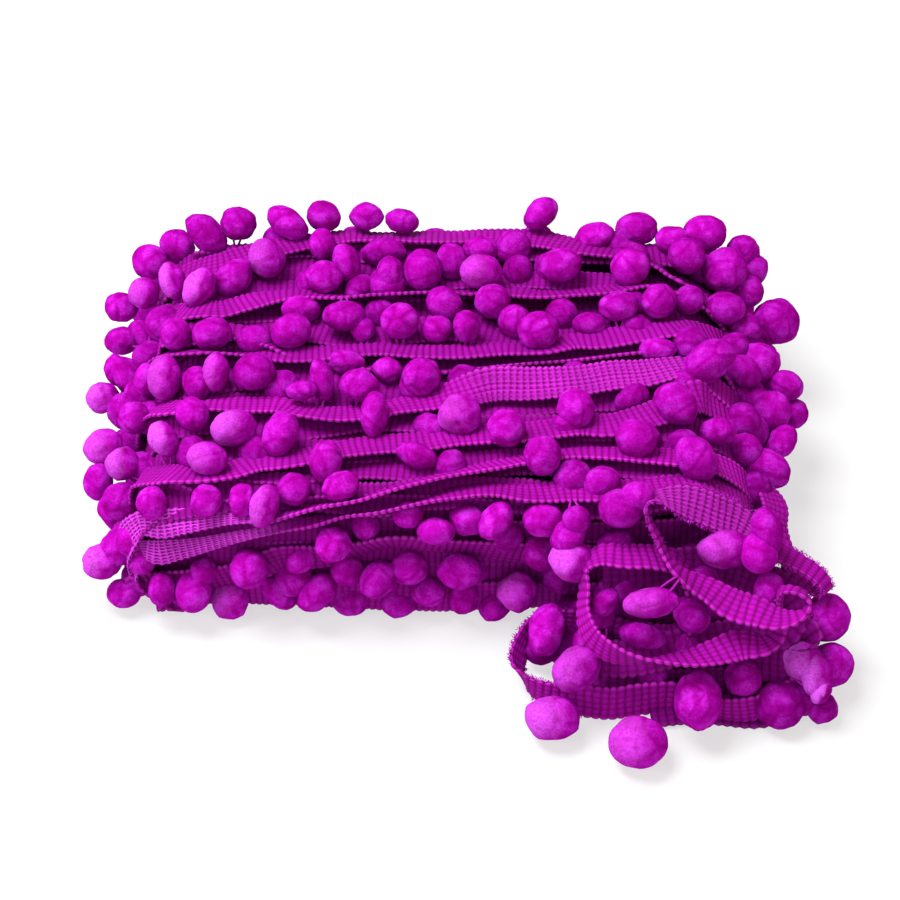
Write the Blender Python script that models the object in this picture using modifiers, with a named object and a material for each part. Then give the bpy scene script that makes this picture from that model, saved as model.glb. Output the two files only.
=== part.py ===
"""A wound bundle of pompom fringe trim with its loose tail heaped in front of it.

The trim is a narrow ribbed tape with a pompom every 20 mm on a short pair of threads.
It is wound lengthwise into a flat bundle, so its turns run along X over the top, round
both ends and back underneath. Two solids come out of this: wound_trim, the bundle with
its main turns and its pompoms, and loose_tail, the free end that leaves the right end
of the bundle and lies in a loopy heap against its near side.

+Z is up, +X runs along the turns, and the origin is under the middle of the whole.
"""

import math
from collections import namedtuple

import bmesh
import bpy
from mathutils import Vector

MM = 0.001

# The trim.
TAPE_WIDTH = 9.5
TAPE_THICKNESS = 1.2
POMPOM_RADIUS = 5.2
POMPOM_SIDES = 6
POMPOM_RINGS = 4
THREAD_RADIUS = 0.8
ROOT_RADIUS = 1.6
THREAD_SIDES = 4

# The bundle: a slab of turns with half-round ends.
BODY_LENGTH = 162.0
BODY_DEPTH = 104.0
BODY_HEIGHT = 42.0
BODY_X = -4.5
BODY_Y = 23.0
BODY_Z = BODY_HEIGHT / 2
CORE_INSET = 1.0
CORE_FLAT = 0.4
SHOULDER = 7.0
CORE_SHOULDER = 4.2
SHOULDER_STEPS = 2
END_STEPS = 5
TURN_RADIUS = BODY_Z - TAPE_THICKNESS / 2
STRAIGHT_HALF = BODY_LENGTH / 2 - TURN_RADIUS
LAYER_STEP = 0.7
ARC_STATIONS = 5
UNDERSIDE_STATIONS = 4
UNDERSIDE_MARGIN = 6.25

# How far a pompom's middle stands off the slab, and how far it may stand off it before
# its threads show.
PROUD = 3.6
SUNK = 0.8
SEATED = 3.7

# The bundle's skin: the size of its grain, the share of its faces that is kept, and how
# near the floor a point of it is laid on the floor.
SKIN_GRAIN = 0.8
SKIN_SHARE = 0.024
FLOOR_REACH = 0.5
WELD = 0.01
SLIVER = 0.04
MAGENTA = (0.46, 0.008, 0.42)
FELT_ROUGHNESS = 0.85

# How far the plan below is moved, so that the whole is centred on the origin.
PLAN_OFFSET = (0.5, 0.9)

# The spacing of the loose tail's sections.
TAIL_STEP = 5.5

# One section of a turn on the top or near side, in mm; roll turns the tape about its
# run, 0 lying flat and 90 standing on its edge.
Section = namedtuple("Section", "x y z roll")

# A turn: its sections from left to right, how far along the depth it crosses the left
# and right ends, and its layer, the higher one lying on the lower.
Turn = namedtuple("Turn", "left_y right_y layer sections")

TURNS = {
    "far_low": Turn(73, 73, 0, ((-62, 74, 15, 90), (0, 74, 16, 90), (54, 74, 14, 90))),
    "far_high": Turn(71, 70, 1, ((-62, 74, 30, 80), (-8, 74, 32, 85), (54, 74, 29, 80))),
    "far_rim": Turn(62, 55, 0, (
        (-65, 62, 42.0, 0), (-35, 69, 42.0, 0), (0, 71, 42.0, 5), (23, 69, 42.4, 10),
        (45, 62, 42.6, 15), (56, 56, 43.0, 45),
    )),
    "second": Turn(50, 46, 1, (
        (-65, 43, 42.0, 10), (-54, 46, 42.4, -5), (-42, 49, 43.4, -35),
        (-10, 50, 43.4, -40), (12, 49, 42.8, -20), (30, 49, 42.0, 0), (56, 52, 42.8, -20),
    )),
    "under_second": Turn(42, 22, 0, (
        (-65, 39, 42.2, -20), (-50, 33, 42.2, -20), (-30, 24, 41.8, -5),
        (-5, 17, 42.2, 10), (24, 18, 43.0, 25), (56, 24, 42.4, 10),
    )),
    "third": Turn(34, 42, 1, (
        (-65, 28, 43.4, -40), (-50, 25, 42.8, -25), (-16, 25, 42.6, -15),
        (11, 27, 42.6, -15), (27, 28, 42.4, -10), (49, 33, 42.8, -15), (56, 35, 43.0, -20),
    )),
    "bright": Turn(15, 14, 1, (
        (-65, 5, 42.2, 0), (-44, 4, 42.2, -5), (-34, 1, 42.6, 10), (-16, 6, 42.4, 0),
        (-3, 9, 43.8, 30), (13, 12, 44.6, 42), (34, 15, 44.6, 42), (56, 18, 43.6, 35),
    )),
    "middle": Turn(-10, 14, 0, (
        (-65, -19, 42.0, -5), (-43, -14, 42.2, -5), (-15, -9, 42.8, 15),
        (5, -6, 42.8, 15), (18, -3, 42.4, 5), (34, -1, 42.4, 5), (56, 6, 43.0, 20),
    )),
    "rising": Turn(-25, -11, 1, (
        (-65, -29, 33.0, 60), (-48, -29, 35.8, 40), (-28, -27, 40.6, -20),
        (-5, -22, 43.4, -40), (15, -16, 43.4, -30), (36, -18, 43.2, 25), (56, -17, 43.2, 30),
    )),
    "shoulder": Turn(-26, -21, 0, (
        (-65, -30, 26.0, 100), (-48, -30, 30.5, 70), (-28, -29, 37.0, 10),
        (-5, -27, 41.0, -30), (20, -24, 42.6, -20), (41, -20, 42.6, 10), (56, -19, 42.4, 10),
    )),
    "near_side": Turn(-27, -27, 0, (
        (-62, -29.5, 21, 90), (-36, -29.5, 23, 80), (-22, -30, 29, 75),
        (5, -29.5, 27, 80), (54, -29.5, 24, 90),
    )),
    "near_foot": Turn(-26, -26, 1, (
        (-62, -29, 8, 90), (-16, -29.5, 6.5, 80), (5, -29.5, 6.5, 80), (54, -29, 7, 90),
    )),
}

# Pompoms round the rim and the ends of the bundle, as (x, y, z, radius) in mm.
RIM_POMPOMS = (
    (-87, 70, 36, 4.9), (-88, 59, 34, 4.3), (-95, 61, 27, 4.3), (-94, 48, 26, 4.3),
    (-94, 35, 27, 4.3), (-84, 22, 36, 4.0), (-97, 26, 25, 4.2), (-95, 9, 24, 4.7),
    (-88, -5, 31, 4.7), (-95, -2, 20, 4.2), (-92, -7, 15, 4.2), (-91, -25, 15, 4.9),
    (-87, -27, 6, 4.4), (-71, 74, 43, 5.0), (-62, 77, 45, 4.7), (-48, 75, 46, 5.0),
    (-38, 78, 46, 4.4), (-26, 78, 46, 4.6), (-16, 76, 46, 4.3), (2, 72, 42, 4.5),
    (23, 78, 47, 4.6), (39, 73, 43, 4.6), (50, 76, 43, 5.1), (60, 72, 42, 4.6), (69, 74, 43, 5.2),
    (79, 73, 38, 4.5), (84, 69, 34, 4.2), (81, 61, 33, 4.2), (89, 56, 27, 6.1), (83, 35, 31, 5.5),
    (89, 29, 27, 4.7), (85, 19, 27, 5.4), (91, 24, 20, 4.2), (86, 10, 24, 4.6), (81, 0, 26, 6.0),
)

# Pompoms on the top of the bundle, (x, y) in mm, in rows from the far edge to the near.
TOP_PROUD = {
    "behind_second": (
        (-79, 55), (-71, 50), (-54, 60), (-38, 67), (-38, 53), (-31, 59), (-20, 52), (-11, 55),
        (6, 54), (28, 58), (48, 56), (63, 60), (74, 62),
    ),
    "behind_third": (
        (-78, 33), (-66, 29), (-43, 38), (-45, 29), (-31, 37), (-17, 34), (-4, 42), (-7, 31),
        (2, 33), (10, 42), (22, 31), (43, 41), (54, 43), (73, 46),
    ),
    "behind_bright": (
        (-79, 17), (-64, 15), (-54, 14), (-42, 6), (-36, 10), (-27, 10), (-10, 12), (-22, -2),
        (67, 21),
    ),
    "behind_middle": (
        (-86, 9), (-76, -9), (-70, -2), (-58, -7), (-47, -8), (1, -1), (12, -7), (26, -4),
        (56, 4),
    ),
    "near_edge": (
        (-87, -23), (-78, -27), (-65, -18), (-50, -27), (-34, -20), (20, -16), (60, -16),
    ),
}

# Those that sit deeper, between the others.
TOP_SUNK = (
    (-63, 55), (-55, 30), (-70, 13), (-30, 22), (-20, 18), (-19, 67), (-2, 62), (6, 69),
    (16, 39), (35, 36), (63, 47), (52, 26), (62, 29), (30, 7), (45, -8), (66, 1),
    (35, -23), (-11, -13), (-64, -26), (-43, -25), (-31, -24), (15, 68), (-30, 24), (-90, 20),
    (-81, 44), (-88, -14), (78, 26), (75, 10), (74, 36),
)

# Pompoms on the near side, (x, z) in mm.
NEAR_PROUD = (
    (-77, 13), (-68, 11), (-53, 22), (-37, 12), (-32, 30), (-21, 17), (-7, 35), (9, 37),
    (18, 37), (-1, 20), (14.5, 13),
)
NEAR_SUNK = (
    (-60, 6), (-47, 9), (-29, 16), (-29, 5), (-13, 19), (1, 35), (-16, 5),
    (-9, 9), (0, 7), (8, 5), (-13, 37), (21, 24), (40, 26), (60, 20), (74, 18), (68, 6),
)

# Hidden sides: rows of pompoms, (height, count), spread evenly.
FAR_ROWS = ((7, 9), (23, 8), (36, 7))
END_ROWS = ((7, 5), (18, 4))
HIDDEN_STAND_OFF = 2.8
ROW_MARGIN = 8.5
ROW_WAVER = 3.0

# A section of the loose tail: its middle in mm, and which way lies across it, from its
# first edge to its second, as three shares of any size.
TailSection = namedtuple("TailSection", "x y z across_x across_y across_z")

# The loose tail, from the right end of the bundle down to its cut end.
TAIL = (
    TailSection(73.8, -3, 37.1, 7, 3, -7),
    TailSection(78, -12, 35, 8, 5, -7),
    TailSection(80, -19, 32.5, 10, 9, -7),
    TailSection(81, -25, 30, 10, 10, -7),
    TailSection(82, -32, 28, 10, 6, -5),
    TailSection(85, -38, 26, 9, 6, -2),
    TailSection(89, -43, 24.5, 8, 8, 0),
    TailSection(92, -46, 27.5, 8, 8, 0),
    TailSection(89, -44, 31.5, 7, 9, 0),
    TailSection(84, -40.5, 33, 5, 10, 0),
    TailSection(78, -37.5, 35, 4, 10, 0),
    TailSection(70, -34, 39.5, 4, 10, 1),
    TailSection(62, -34, 44, 3, 10, 4),
    TailSection(55, -34, 47, 3, 10, 2),
    TailSection(49, -35, 49, 2, 10, -3),
    TailSection(46, -37, 48.5, 3, 10, -7),
    TailSection(47, -40, 45.5, 4, 10, -8),
    TailSection(49, -43, 42.5, 5, 10, -8),
    TailSection(51, -46, 39.5, 4, 10, -7),
    TailSection(54, -49, 37.5, 4, 10, -6),
    TailSection(58, -51, 35.5, 3, 10, -3),
    TailSection(62, -53, 34.5, 3, 10, -1),
    TailSection(67, -56, 33.5, 3, 10, 1),
    TailSection(73, -58, 33, 3, 10, 1),
    TailSection(78, -60, 32, 2, 10, -1),
    TailSection(83, -60, 32, 1, 10, -2),
    TailSection(85, -58, 34.5, 1, 10, -3),
    TailSection(82, -55, 35.5, 1, 10, -3),
    TailSection(79, -53, 31, 1, 10, -3),
    TailSection(81, -55, 26.5, 1, 10, -2),
    TailSection(79, -60, 24, 1, 10, -2),
    TailSection(75, -61, 24, 1, 10, 0),
    TailSection(69, -61, 24, 0, 10, 2),
    TailSection(63, -63, 23.5, 0, 10, 0),
    TailSection(57, -65, 23.5, 0, 10, -4),
    TailSection(50, -66, 24, 0, 10, -8),
    TailSection(44, -66, 24, -1, 6, -10),
    TailSection(38, -64, 24, -4, 3, -10),
    TailSection(33, -60, 24.5, -7, 2, -10),
    TailSection(31, -56, 26, -7, 5, -10),
    TailSection(30.5, -52, 28, -6, 8, -10),
    TailSection(31, -48, 31, -5, 10, -8),
    TailSection(31, -44.5, 34.5, -2, 10, -4),
    TailSection(35, -43, 37, 0, 10, -1),
    TailSection(41, -43.5, 37, 0, 10, -1),
    TailSection(47, -43, 36.5, 0, 10, -1),
    TailSection(54, -42, 33, 1, 10, -1),
    TailSection(58, -45, 27, 2, 10, 0),
    TailSection(58, -49, 19.5, 2, 10, 1),
    TailSection(54, -51, 14, 1, 9, 3),
    TailSection(47, -49, 11.5, 0, 8, 6),
    TailSection(40, -46, 10.5, 0, 6, 8),
    TailSection(32, -43, 10.5, 0, 4, 9),
    TailSection(25, -41.5, 10.5, 0, 3, 10),
    TailSection(20, -42, 10, 1, 2, 10),
    TailSection(17, -44.5, 8.5, 3, 1, 10),
    TailSection(15, -49, 6.5, 3, 0, 10),
    TailSection(15, -54, 5, 2, 0, 10),
    TailSection(18, -58.5, 4.8, 1, 0, 10),
    TailSection(23, -61.5, 4.8, 0, 2, 10),
    TailSection(31, -63, 4.8, 0, 3, 10),
    TailSection(38, -64, 4.8, 0, 3, 10),
    TailSection(45, -63, 4.8, 0, 3, 10),
    TailSection(53, -62, 4.8, 0, 2, 10),
    TailSection(60, -64, 4.8, 0, 1, 10),
    TailSection(66, -67, 4.8, 0, 0, 10),
    TailSection(71, -70, 4.8, 0, 0, 10),
    TailSection(76, -71, 4.8, 0, 0, 10),
    TailSection(81, -69, 4.8, 0, 0, 10),
    TailSection(85, -64, 4.8, 0, 0, 10),
    TailSection(86, -58, 4.8, 0, 0, 10),
)

# Pompoms of the tail, as (x, y, z, radius) in mm.
TAIL_POMPOMS = (
    (22, -46, 12, 4.6), (29, -62, 16, 6.2), (23, -70, 6.4, 6.4), (44, -78, 6.9, 6.9),
    (59, -69, 12, 6.2), (47, -56, 34, 4.8), (46, -53, 18, 4.8), (28, -41, 33, 6.0),
    (27, -37.5, 38, 4.5), (29, -36, 42.5, 3.6), (40, -35, 45.5, 5.7), (44, -34, 49, 4.2),
    (66, -41, 37, 6.0), (78, -43, 24, 3.8), (78, -39, 30, 4.5), (93, -46, 17, 6.0),
    (94, -55, 9, 5.8), (88, -62, 13, 4.8), (90, -65, 4.4, 4.2), (78, -67, 6.5, 5.5),
    (71, -61, 11, 4.8), (58, -51, 24, 4.8), (57, -53, 14, 4.2), (36, -49, 26, 3.9),
    (35, -47, 20, 4.2), (33, -48, 9, 4.6), (41, -53, 8, 4.6), (49, -56, 8, 4.6), (61, -54, 7, 4.3),
    (70, -50, 12, 4.3), (77, -54, 10, 4.3), (66, -43, 18, 4.3), (73, -40, 20, 4.4),
    (51, -41, 18, 4.3), (43, -41, 20, 4.3), (62, -40, 24, 4.3), (46, -43, 9, 4.3),
    (85, -47, 8, 4.4), (84, -42, 16, 4.0), (87, -58, 6, 4.0),
)


def felt(name):
    """The trim's one colour: matt magenta felt and cotton."""
    material = bpy.data.materials.new(name)
    material.use_nodes = True
    shader = material.node_tree.nodes["Principled BSDF"]
    shader.inputs["Base Color"].default_value = (*MAGENTA, 1.0)
    shader.inputs["Roughness"].default_value = FELT_ROUGHNESS
    shader.inputs["Metallic"].default_value = 0.0
    return material


def collection(name):
    found = bpy.data.collections.new(name)
    bpy.context.scene.collection.children.link(found)
    return found


def as_guide(obj, home):
    """A piece that is only joined into a solid, kept in this collection alone."""
    for other in list(obj.users_collection):
        other.objects.unlink(obj)
    home.objects.link(obj)
    obj.hide_render = True
    obj.display_type = "WIRE"
    return obj


def lerp(a, b, share):
    return a + (b - a) * share


def clamp(value, low, high):
    return max(low, min(high, value))


def slab_distance(x, y, z):
    """How far a point is outside the slab's own surface, in mm, and less than 0 inside."""
    past_straight = max(abs(x - BODY_X) - STRAIGHT_HALF, 0.0)
    section = math.hypot(past_straight, z - BODY_Z) - BODY_Z + SHOULDER
    depth = abs(y - BODY_Y) - BODY_DEPTH / 2 + SHOULDER
    return min(max(section, depth), 0.0) + math.hypot(max(section, 0.0), max(depth, 0.0)) - SHOULDER


def height_over(x, y, stand_off):
    """The height at which a pompom's middle stands this far off the slab's top."""
    z = BODY_HEIGHT + stand_off
    lowest = BODY_Z + POMPOM_RADIUS
    while z > lowest and slab_distance(x, y, z) > stand_off:
        z -= 0.25
    return z


def smooth_through(points, counts):
    """Points on a smooth curve through the given ones, this many to each span."""
    rows = [Vector(point) for point in points]
    rows = [rows[0] * 2 - rows[1], *rows, rows[-1] * 2 - rows[-2]]
    out = []
    for before, start, end, after, count in zip(rows, rows[1:], rows[2:], rows[3:], counts):
        for k in range(count):
            t = k / count
            out.append(0.5 * (
                2 * start + (end - before) * t
                + (2 * before - 5 * start + 4 * end - after) * t * t
                + (3 * start - before - 3 * end + after) * t * t * t
            ))
    out.append(rows[-2])
    return out


def tape_strip(name, centres, across, closed):
    """A tape of the trim's width and thickness along these centres, in mm."""
    spans = len(centres) if closed else len(centres) - 1
    mesh = bpy.data.meshes.new(name)
    strip = bmesh.new()
    bmesh.ops.create_grid(strip, x_segments=spans, y_segments=1, size=0.5)
    for vertex in strip.verts:
        column = round((vertex.co.x + 0.5) * spans) % len(centres)
        edge = math.copysign(TAPE_WIDTH / 2, vertex.co.y)
        vertex.co = (centres[column] + across[column] * edge) * MM
    if closed:
        bmesh.ops.remove_doubles(strip, verts=strip.verts, dist=WELD * MM)
    strip.to_mesh(mesh)
    strip.free()
    obj = bpy.data.objects.new(name, mesh)
    bpy.context.scene.collection.objects.link(obj)
    wall = obj.modifiers.new("tape_thickness", "SOLIDIFY")
    wall.thickness = TAPE_THICKNESS * MM
    wall.offset = 0
    return obj


def end_arc(start, end_y, under_y, layer, side):
    """Sections round one end of the bundle, from a turn's top run to its underside."""
    top = TURN_RADIUS + LAYER_STEP * layer
    foot = TURN_RADIUS - LAYER_STEP * layer
    high = math.asin(clamp((start.z - BODY_Z) / top, -1.0, 1.0))
    arc = []
    for k in range(1, ARC_STATIONS + 1):
        share = k / (ARC_STATIONS + 1)
        angle = lerp(high, -math.pi / 2, share)
        radius = lerp(top, foot, share)
        arc.append(Section(
            BODY_X + side * (STRAIGHT_HALF + radius * math.cos(angle)),
            lerp(start.y, end_y, 2 * share) if share < 0.5 else lerp(end_y, under_y, 2 * share - 1),
            BODY_Z + radius * math.sin(angle),
            lerp(start.roll, 0, min(1.0, 3 * share)),
        ))
    return arc


def wound_turn(name, turn, under_y):
    """One closed turn of tape: over the top, round the right end, under, and back."""
    top = [Section(*row) for row in turn.sections]
    right = end_arc(top[-1], turn.right_y, under_y, turn.layer, 1)
    left = end_arc(top[0], turn.left_y, under_y, turn.layer, -1)
    foot = TAPE_THICKNESS / 2 + LAYER_STEP * turn.layer
    under = [
        Section(BODY_X + STRAIGHT_HALF * (1 - 2 * k / (UNDERSIDE_STATIONS - 1)), under_y, foot, 0)
        for k in range(UNDERSIDE_STATIONS)
    ]
    loop = top + right + under + left[::-1]
    centres = [Vector(row[:3]) for row in loop]
    across = []
    for k, row in enumerate(loop):
        run = (centres[(k + 1) % len(loop)] - centres[k - 1]).normalized()
        inward = Vector((0, 1, 0)).cross(run).normalized()
        roll = math.radians(row.roll)
        across.append(run.cross(inward) * math.cos(roll) - inward * math.sin(roll))
    return tape_strip(name, centres, across, True)


def pompom(name, x, y, z, radius):
    bpy.ops.mesh.primitive_uv_sphere_add(
        segments=POMPOM_SIDES, ring_count=POMPOM_RINGS, radius=radius * MM,
        location=(x * MM, y * MM, z * MM), rotation=(0, 0, math.radians((7 * x + 3 * y) % 60)),
    )
    bpy.context.object.name = name
    return bpy.context.object


def thread(name, start, end, radius):
    """A four-sided stand-in for a thread pair between two places, in mm."""
    start, end = Vector(start), Vector(end)
    bpy.ops.mesh.primitive_cylinder_add(
        vertices=THREAD_SIDES, radius=radius * MM, depth=(end - start).length * MM,
        location=(start + end) / 2 * MM,
        rotation=(end - start).to_track_quat("Z", "Y").to_euler(),
    )
    bpy.context.object.name = name
    return bpy.context.object


def bundle_pompoms():
    """Every pompom on the bundle, side by side, as its middle and its radius in mm."""
    yield from RIM_POMPOMS
    for row in TOP_PROUD.values():
        for x, y in row:
            yield x, y, height_over(x, y, PROUD), POMPOM_RADIUS
    for x, y in TOP_SUNK:
        yield x, y, height_over(x, y, SUNK), POMPOM_RADIUS
    near = BODY_Y - BODY_DEPTH / 2
    for x, z in NEAR_PROUD:
        yield x, near - PROUD, z, POMPOM_RADIUS
    for x, z in NEAR_SUNK:
        yield x, near - SUNK, max(z, POMPOM_RADIUS), POMPOM_RADIUS
    far = BODY_Y + BODY_DEPTH / 2 + HIDDEN_STAND_OFF
    for height, count in FAR_ROWS:
        for k in range(count):
            waver = ROW_WAVER * math.sin(2.4 * k + height)
            along = lerp(-1, 1, k / (count - 1)) * (BODY_LENGTH / 2 - ROW_MARGIN)
            yield BODY_X + along + waver, far, height + waver / 3, POMPOM_RADIUS
    for side in (-1, 1):
        for height, count in END_ROWS:
            bulge = math.sqrt(BODY_Z ** 2 - (BODY_Z - height) ** 2) + HIDDEN_STAND_OFF
            for k in range(count):
                waver = ROW_WAVER * math.sin(3 * k + height)
                across = lerp(-1, 1, k / (count - 1)) * (BODY_DEPTH / 2 - ROW_MARGIN)
                x = BODY_X + side * (STRAIGHT_HALF + bulge)
                yield x, BODY_Y + across + waver, height, POMPOM_RADIUS


def slab_core():
    """The packed middle of the bundle: a slab with half-round ends."""
    bpy.ops.mesh.primitive_cube_add(size=1, location=(BODY_X * MM, BODY_Y * MM, BODY_Z * MM))
    core = bpy.context.object
    core.name = "slab_core"
    length, depth, height = (side - 2 * CORE_INSET for side in (BODY_LENGTH, BODY_DEPTH, BODY_HEIGHT))
    shape = bmesh.new()
    shape.from_mesh(core.data)
    bmesh.ops.scale(shape, vec=(length * MM, depth * MM, height * MM), verts=shape.verts)
    ends = [edge for edge in shape.edges if abs(edge.verts[0].co.y - edge.verts[1].co.y) > WELD * MM]
    bmesh.ops.bevel(
        shape, geom=ends, offset=(height - CORE_FLAT) / 2 * MM, segments=END_STEPS, affect="EDGES",
        profile=0.5,
    )
    rims = [
        edge for edge in shape.edges
        if abs(edge.verts[0].co.y - edge.verts[1].co.y) < WELD * MM
        and edge.verts[0].co.z > 0 and edge.verts[1].co.z > 0
    ]
    bmesh.ops.bevel(
        shape, geom=rims, offset=CORE_SHOULDER * MM, segments=SHOULDER_STEPS, affect="EDGES",
        profile=0.5, clamp_overlap=True,
    )
    shape.to_mesh(core.data)
    shape.free()
    return core


def outer_shell(shape):
    """Drop every loose shell but the largest, such as a pocket that is shut in."""
    left = set(shape.faces)
    shells = []
    while left:
        growing = [left.pop()]
        shell = set(growing)
        while growing:
            near = {other for edge in growing.pop().edges for other in edge.link_faces} & left
            left -= near
            shell |= near
            growing.extend(near)
        shells.append(shell)
    shells.sort(key=len)
    for shell in shells[:-1]:
        bmesh.ops.delete(shape, geom=list(shell), context="FACES")


def solid_from(name, source, home, floor_reach=0.0):
    """One closed solid, in its own material, of what this guide's modifiers make.

    Points within floor_reach of the floor, in mm, are laid on it.
    """
    bpy.context.view_layer.update()
    graph = bpy.context.evaluated_depsgraph_get()
    mesh = bpy.data.meshes.new_from_object(source.evaluated_get(graph))
    mesh.name = name
    mesh.materials.clear()
    mesh.materials.append(felt(name + "_felt"))
    shape = bmesh.new()
    shape.from_mesh(mesh)
    bmesh.ops.triangulate(shape, faces=shape.faces)
    bmesh.ops.remove_doubles(shape, verts=shape.verts, dist=SLIVER * MM)
    bmesh.ops.dissolve_degenerate(shape, edges=shape.edges, dist=SLIVER * MM)
    bmesh.ops.triangulate(shape, faces=shape.faces)
    outer_shell(shape)
    for vertex in shape.verts:
        if vertex.co.z < floor_reach * MM:
            vertex.co.z = 0
    bmesh.ops.translate(shape, verts=shape.verts, vec=(PLAN_OFFSET[0] * MM, PLAN_OFFSET[1] * MM, 0))
    shape.to_mesh(mesh)
    shape.free()
    home.objects.link(bpy.data.objects.new(name, mesh))


def gathered(name, pieces):
    """One mesh of all these pieces as they stand, still overlapping."""
    bpy.context.view_layer.update()
    graph = bpy.context.evaluated_depsgraph_get()
    shape = bmesh.new()
    for piece in pieces:
        mesh = bpy.data.meshes.new_from_object(piece.evaluated_get(graph))
        mesh.transform(piece.matrix_world)
        shape.from_mesh(mesh)
        bpy.data.meshes.remove(mesh)
    mesh = bpy.data.meshes.new(name)
    shape.to_mesh(mesh)
    shape.free()
    obj = bpy.data.objects.new(name, mesh)
    bpy.context.scene.collection.objects.link(obj)
    return obj


def build_wound_trim(parts, guides):
    """The bundle: its core, turns and pompoms under one lumpy skin."""
    pieces = [slab_core()]
    reach = BODY_DEPTH / 2 - UNDERSIDE_MARGIN
    for k, (name, turn) in enumerate(TURNS.items()):
        under_y = BODY_Y + lerp(reach, -reach, k / (len(TURNS) - 1))
        pieces.append(wound_turn("turn_" + name, turn, under_y))
    for k, (x, y, z, radius) in enumerate(bundle_pompoms()):
        pieces.append(pompom(f"pompom_{k:03d}", x, y, z, radius))
        if slab_distance(x, y, z) > SEATED:
            root = (
                clamp(x, BODY_X - STRAIGHT_HALF, BODY_X + STRAIGHT_HALF),
                clamp(y, BODY_Y - BODY_DEPTH / 2 + SHOULDER, BODY_Y + BODY_DEPTH / 2 - SHOULDER),
                BODY_Z,
            )
            pieces.append(thread(f"thread_{k:03d}", (x, y, z), root, ROOT_RADIUS))
    for piece in pieces:
        as_guide(piece, guides)
    lump = as_guide(gathered("wound_pieces", pieces), guides)
    skin = lump.modifiers.new("one_skin", "REMESH")
    skin.mode = "VOXEL"
    skin.voxel_size = SKIN_GRAIN * MM
    fewer = lump.modifiers.new("fewer_faces", "DECIMATE")
    fewer.ratio = SKIN_SHARE
    solid_from("wound_trim", lump, parts, FLOOR_REACH)


def build_loose_tail(parts, guides):
    """The free end: one tape with its pompoms joined to it by their threads."""
    middles = [Vector((row.x, row.y, row.z)) for row in TAIL]
    leans = [Vector((row.across_x, row.across_y, row.across_z)).normalized() for row in TAIL]
    counts = [max(1, round((b - a).length / TAIL_STEP)) for a, b in zip(middles, middles[1:])]
    centres = smooth_through(middles, counts)
    across = []
    for k, lean in enumerate(smooth_through(leans, counts)):
        run = (centres[min(k + 1, len(centres) - 1)] - centres[max(k - 1, 0)]).normalized()
        across.append((lean - run * run.dot(lean)).normalized())
    tape = as_guide(tape_strip("tail_tape", centres, across, False), guides)
    hung = collection("tail_pieces")
    for k, (x, y, z, radius) in enumerate(TAIL_POMPOMS):
        middle = Vector((x, y, z))
        root = min(centres, key=lambda place: (place - middle).length)
        as_guide(pompom(f"tail_pompom_{k:02d}", x, y, z, radius), hung)
        as_guide(thread(f"tail_thread_{k:02d}", middle, root, THREAD_RADIUS), hung)
    join = tape.modifiers.new("all_in_one", "BOOLEAN")
    join.operation = "UNION"
    join.solver = "EXACT"
    join.operand_type = "COLLECTION"
    join.collection = hung
    join.use_self = True
    solid_from("loose_tail", tape, parts)


def build():
    for obj in list(bpy.data.objects):
        bpy.data.objects.remove(obj, do_unlink=True)
    parts = collection("pompom_trim_bundle")
    guides = collection("guides")
    build_wound_trim(parts, guides)
    build_loose_tail(parts, guides)


build()
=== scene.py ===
# A wound bundle of magenta pompom fringe trim with its loose tail heaped in front of it.
# All places in the tables are in millimetres, in the plan of the bundle.
import math
import random

import bpy
import numpy as np
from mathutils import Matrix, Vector, noise


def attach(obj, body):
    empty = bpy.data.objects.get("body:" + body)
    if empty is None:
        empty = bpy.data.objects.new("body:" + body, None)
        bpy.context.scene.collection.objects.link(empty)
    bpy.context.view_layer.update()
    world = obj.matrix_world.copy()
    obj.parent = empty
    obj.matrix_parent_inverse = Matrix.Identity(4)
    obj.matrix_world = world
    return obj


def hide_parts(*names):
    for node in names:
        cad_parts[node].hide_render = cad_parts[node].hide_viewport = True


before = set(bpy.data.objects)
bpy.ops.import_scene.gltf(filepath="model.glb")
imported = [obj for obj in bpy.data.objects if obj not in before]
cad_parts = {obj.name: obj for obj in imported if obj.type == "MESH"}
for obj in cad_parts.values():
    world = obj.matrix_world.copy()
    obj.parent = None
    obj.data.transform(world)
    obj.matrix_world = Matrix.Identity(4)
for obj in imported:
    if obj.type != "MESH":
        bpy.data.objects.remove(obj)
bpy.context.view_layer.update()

mm = 0.001
planShift = (0.5, 0.9, 0.0)  # the plan's middle, moved onto the origin


def deselectAll():
    if bpy.context.object and bpy.context.object.mode != "OBJECT":
        bpy.ops.object.mode_set(mode="OBJECT")
    bpy.ops.object.select_all(action="DESELECT")


def makeActive(piece):
    deselectAll()
    piece.select_set(True)
    bpy.context.view_layer.objects.active = piece


def lerp(a, b, share):
    return a + (b - a) * share


def clamp(value, low, high):
    return max(low, min(high, value))


def placed(points):
    # plan millimetres to metres in the frame
    return (np.asarray(points, dtype=float) + np.array(planShift)) * mm


def meshFromArrays(name, points, quads, caps=()):
    # points in plan millimetres, quads an (n, 4) array, caps extra faces as lists
    mesh = bpy.data.meshes.new(name)
    faces = [list(map(int, row)) for row in quads] + [list(map(int, row)) for row in caps]
    mesh.from_pydata([tuple(row) for row in placed(points)], [], faces)
    mesh.update()
    piece = bpy.data.objects.new(name, mesh)
    bpy.context.scene.collection.objects.link(piece)
    return piece


def setPointValue(mesh, name, values):
    layer = mesh.attributes.new(name, "FLOAT", "POINT")
    layer.data.foreach_set("value", np.asarray(values, dtype=np.float32))


def shadeSmooth(piece):
    piece.data.polygons.foreach_set("use_smooth", [True] * len(piece.data.polygons))
    piece.data.update()


def rideAndReplace(piece, node, material):
    piece.data.materials.clear()
    piece.data.materials.append(material)
    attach(piece, "root")
    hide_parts(node)
    return piece


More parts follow.
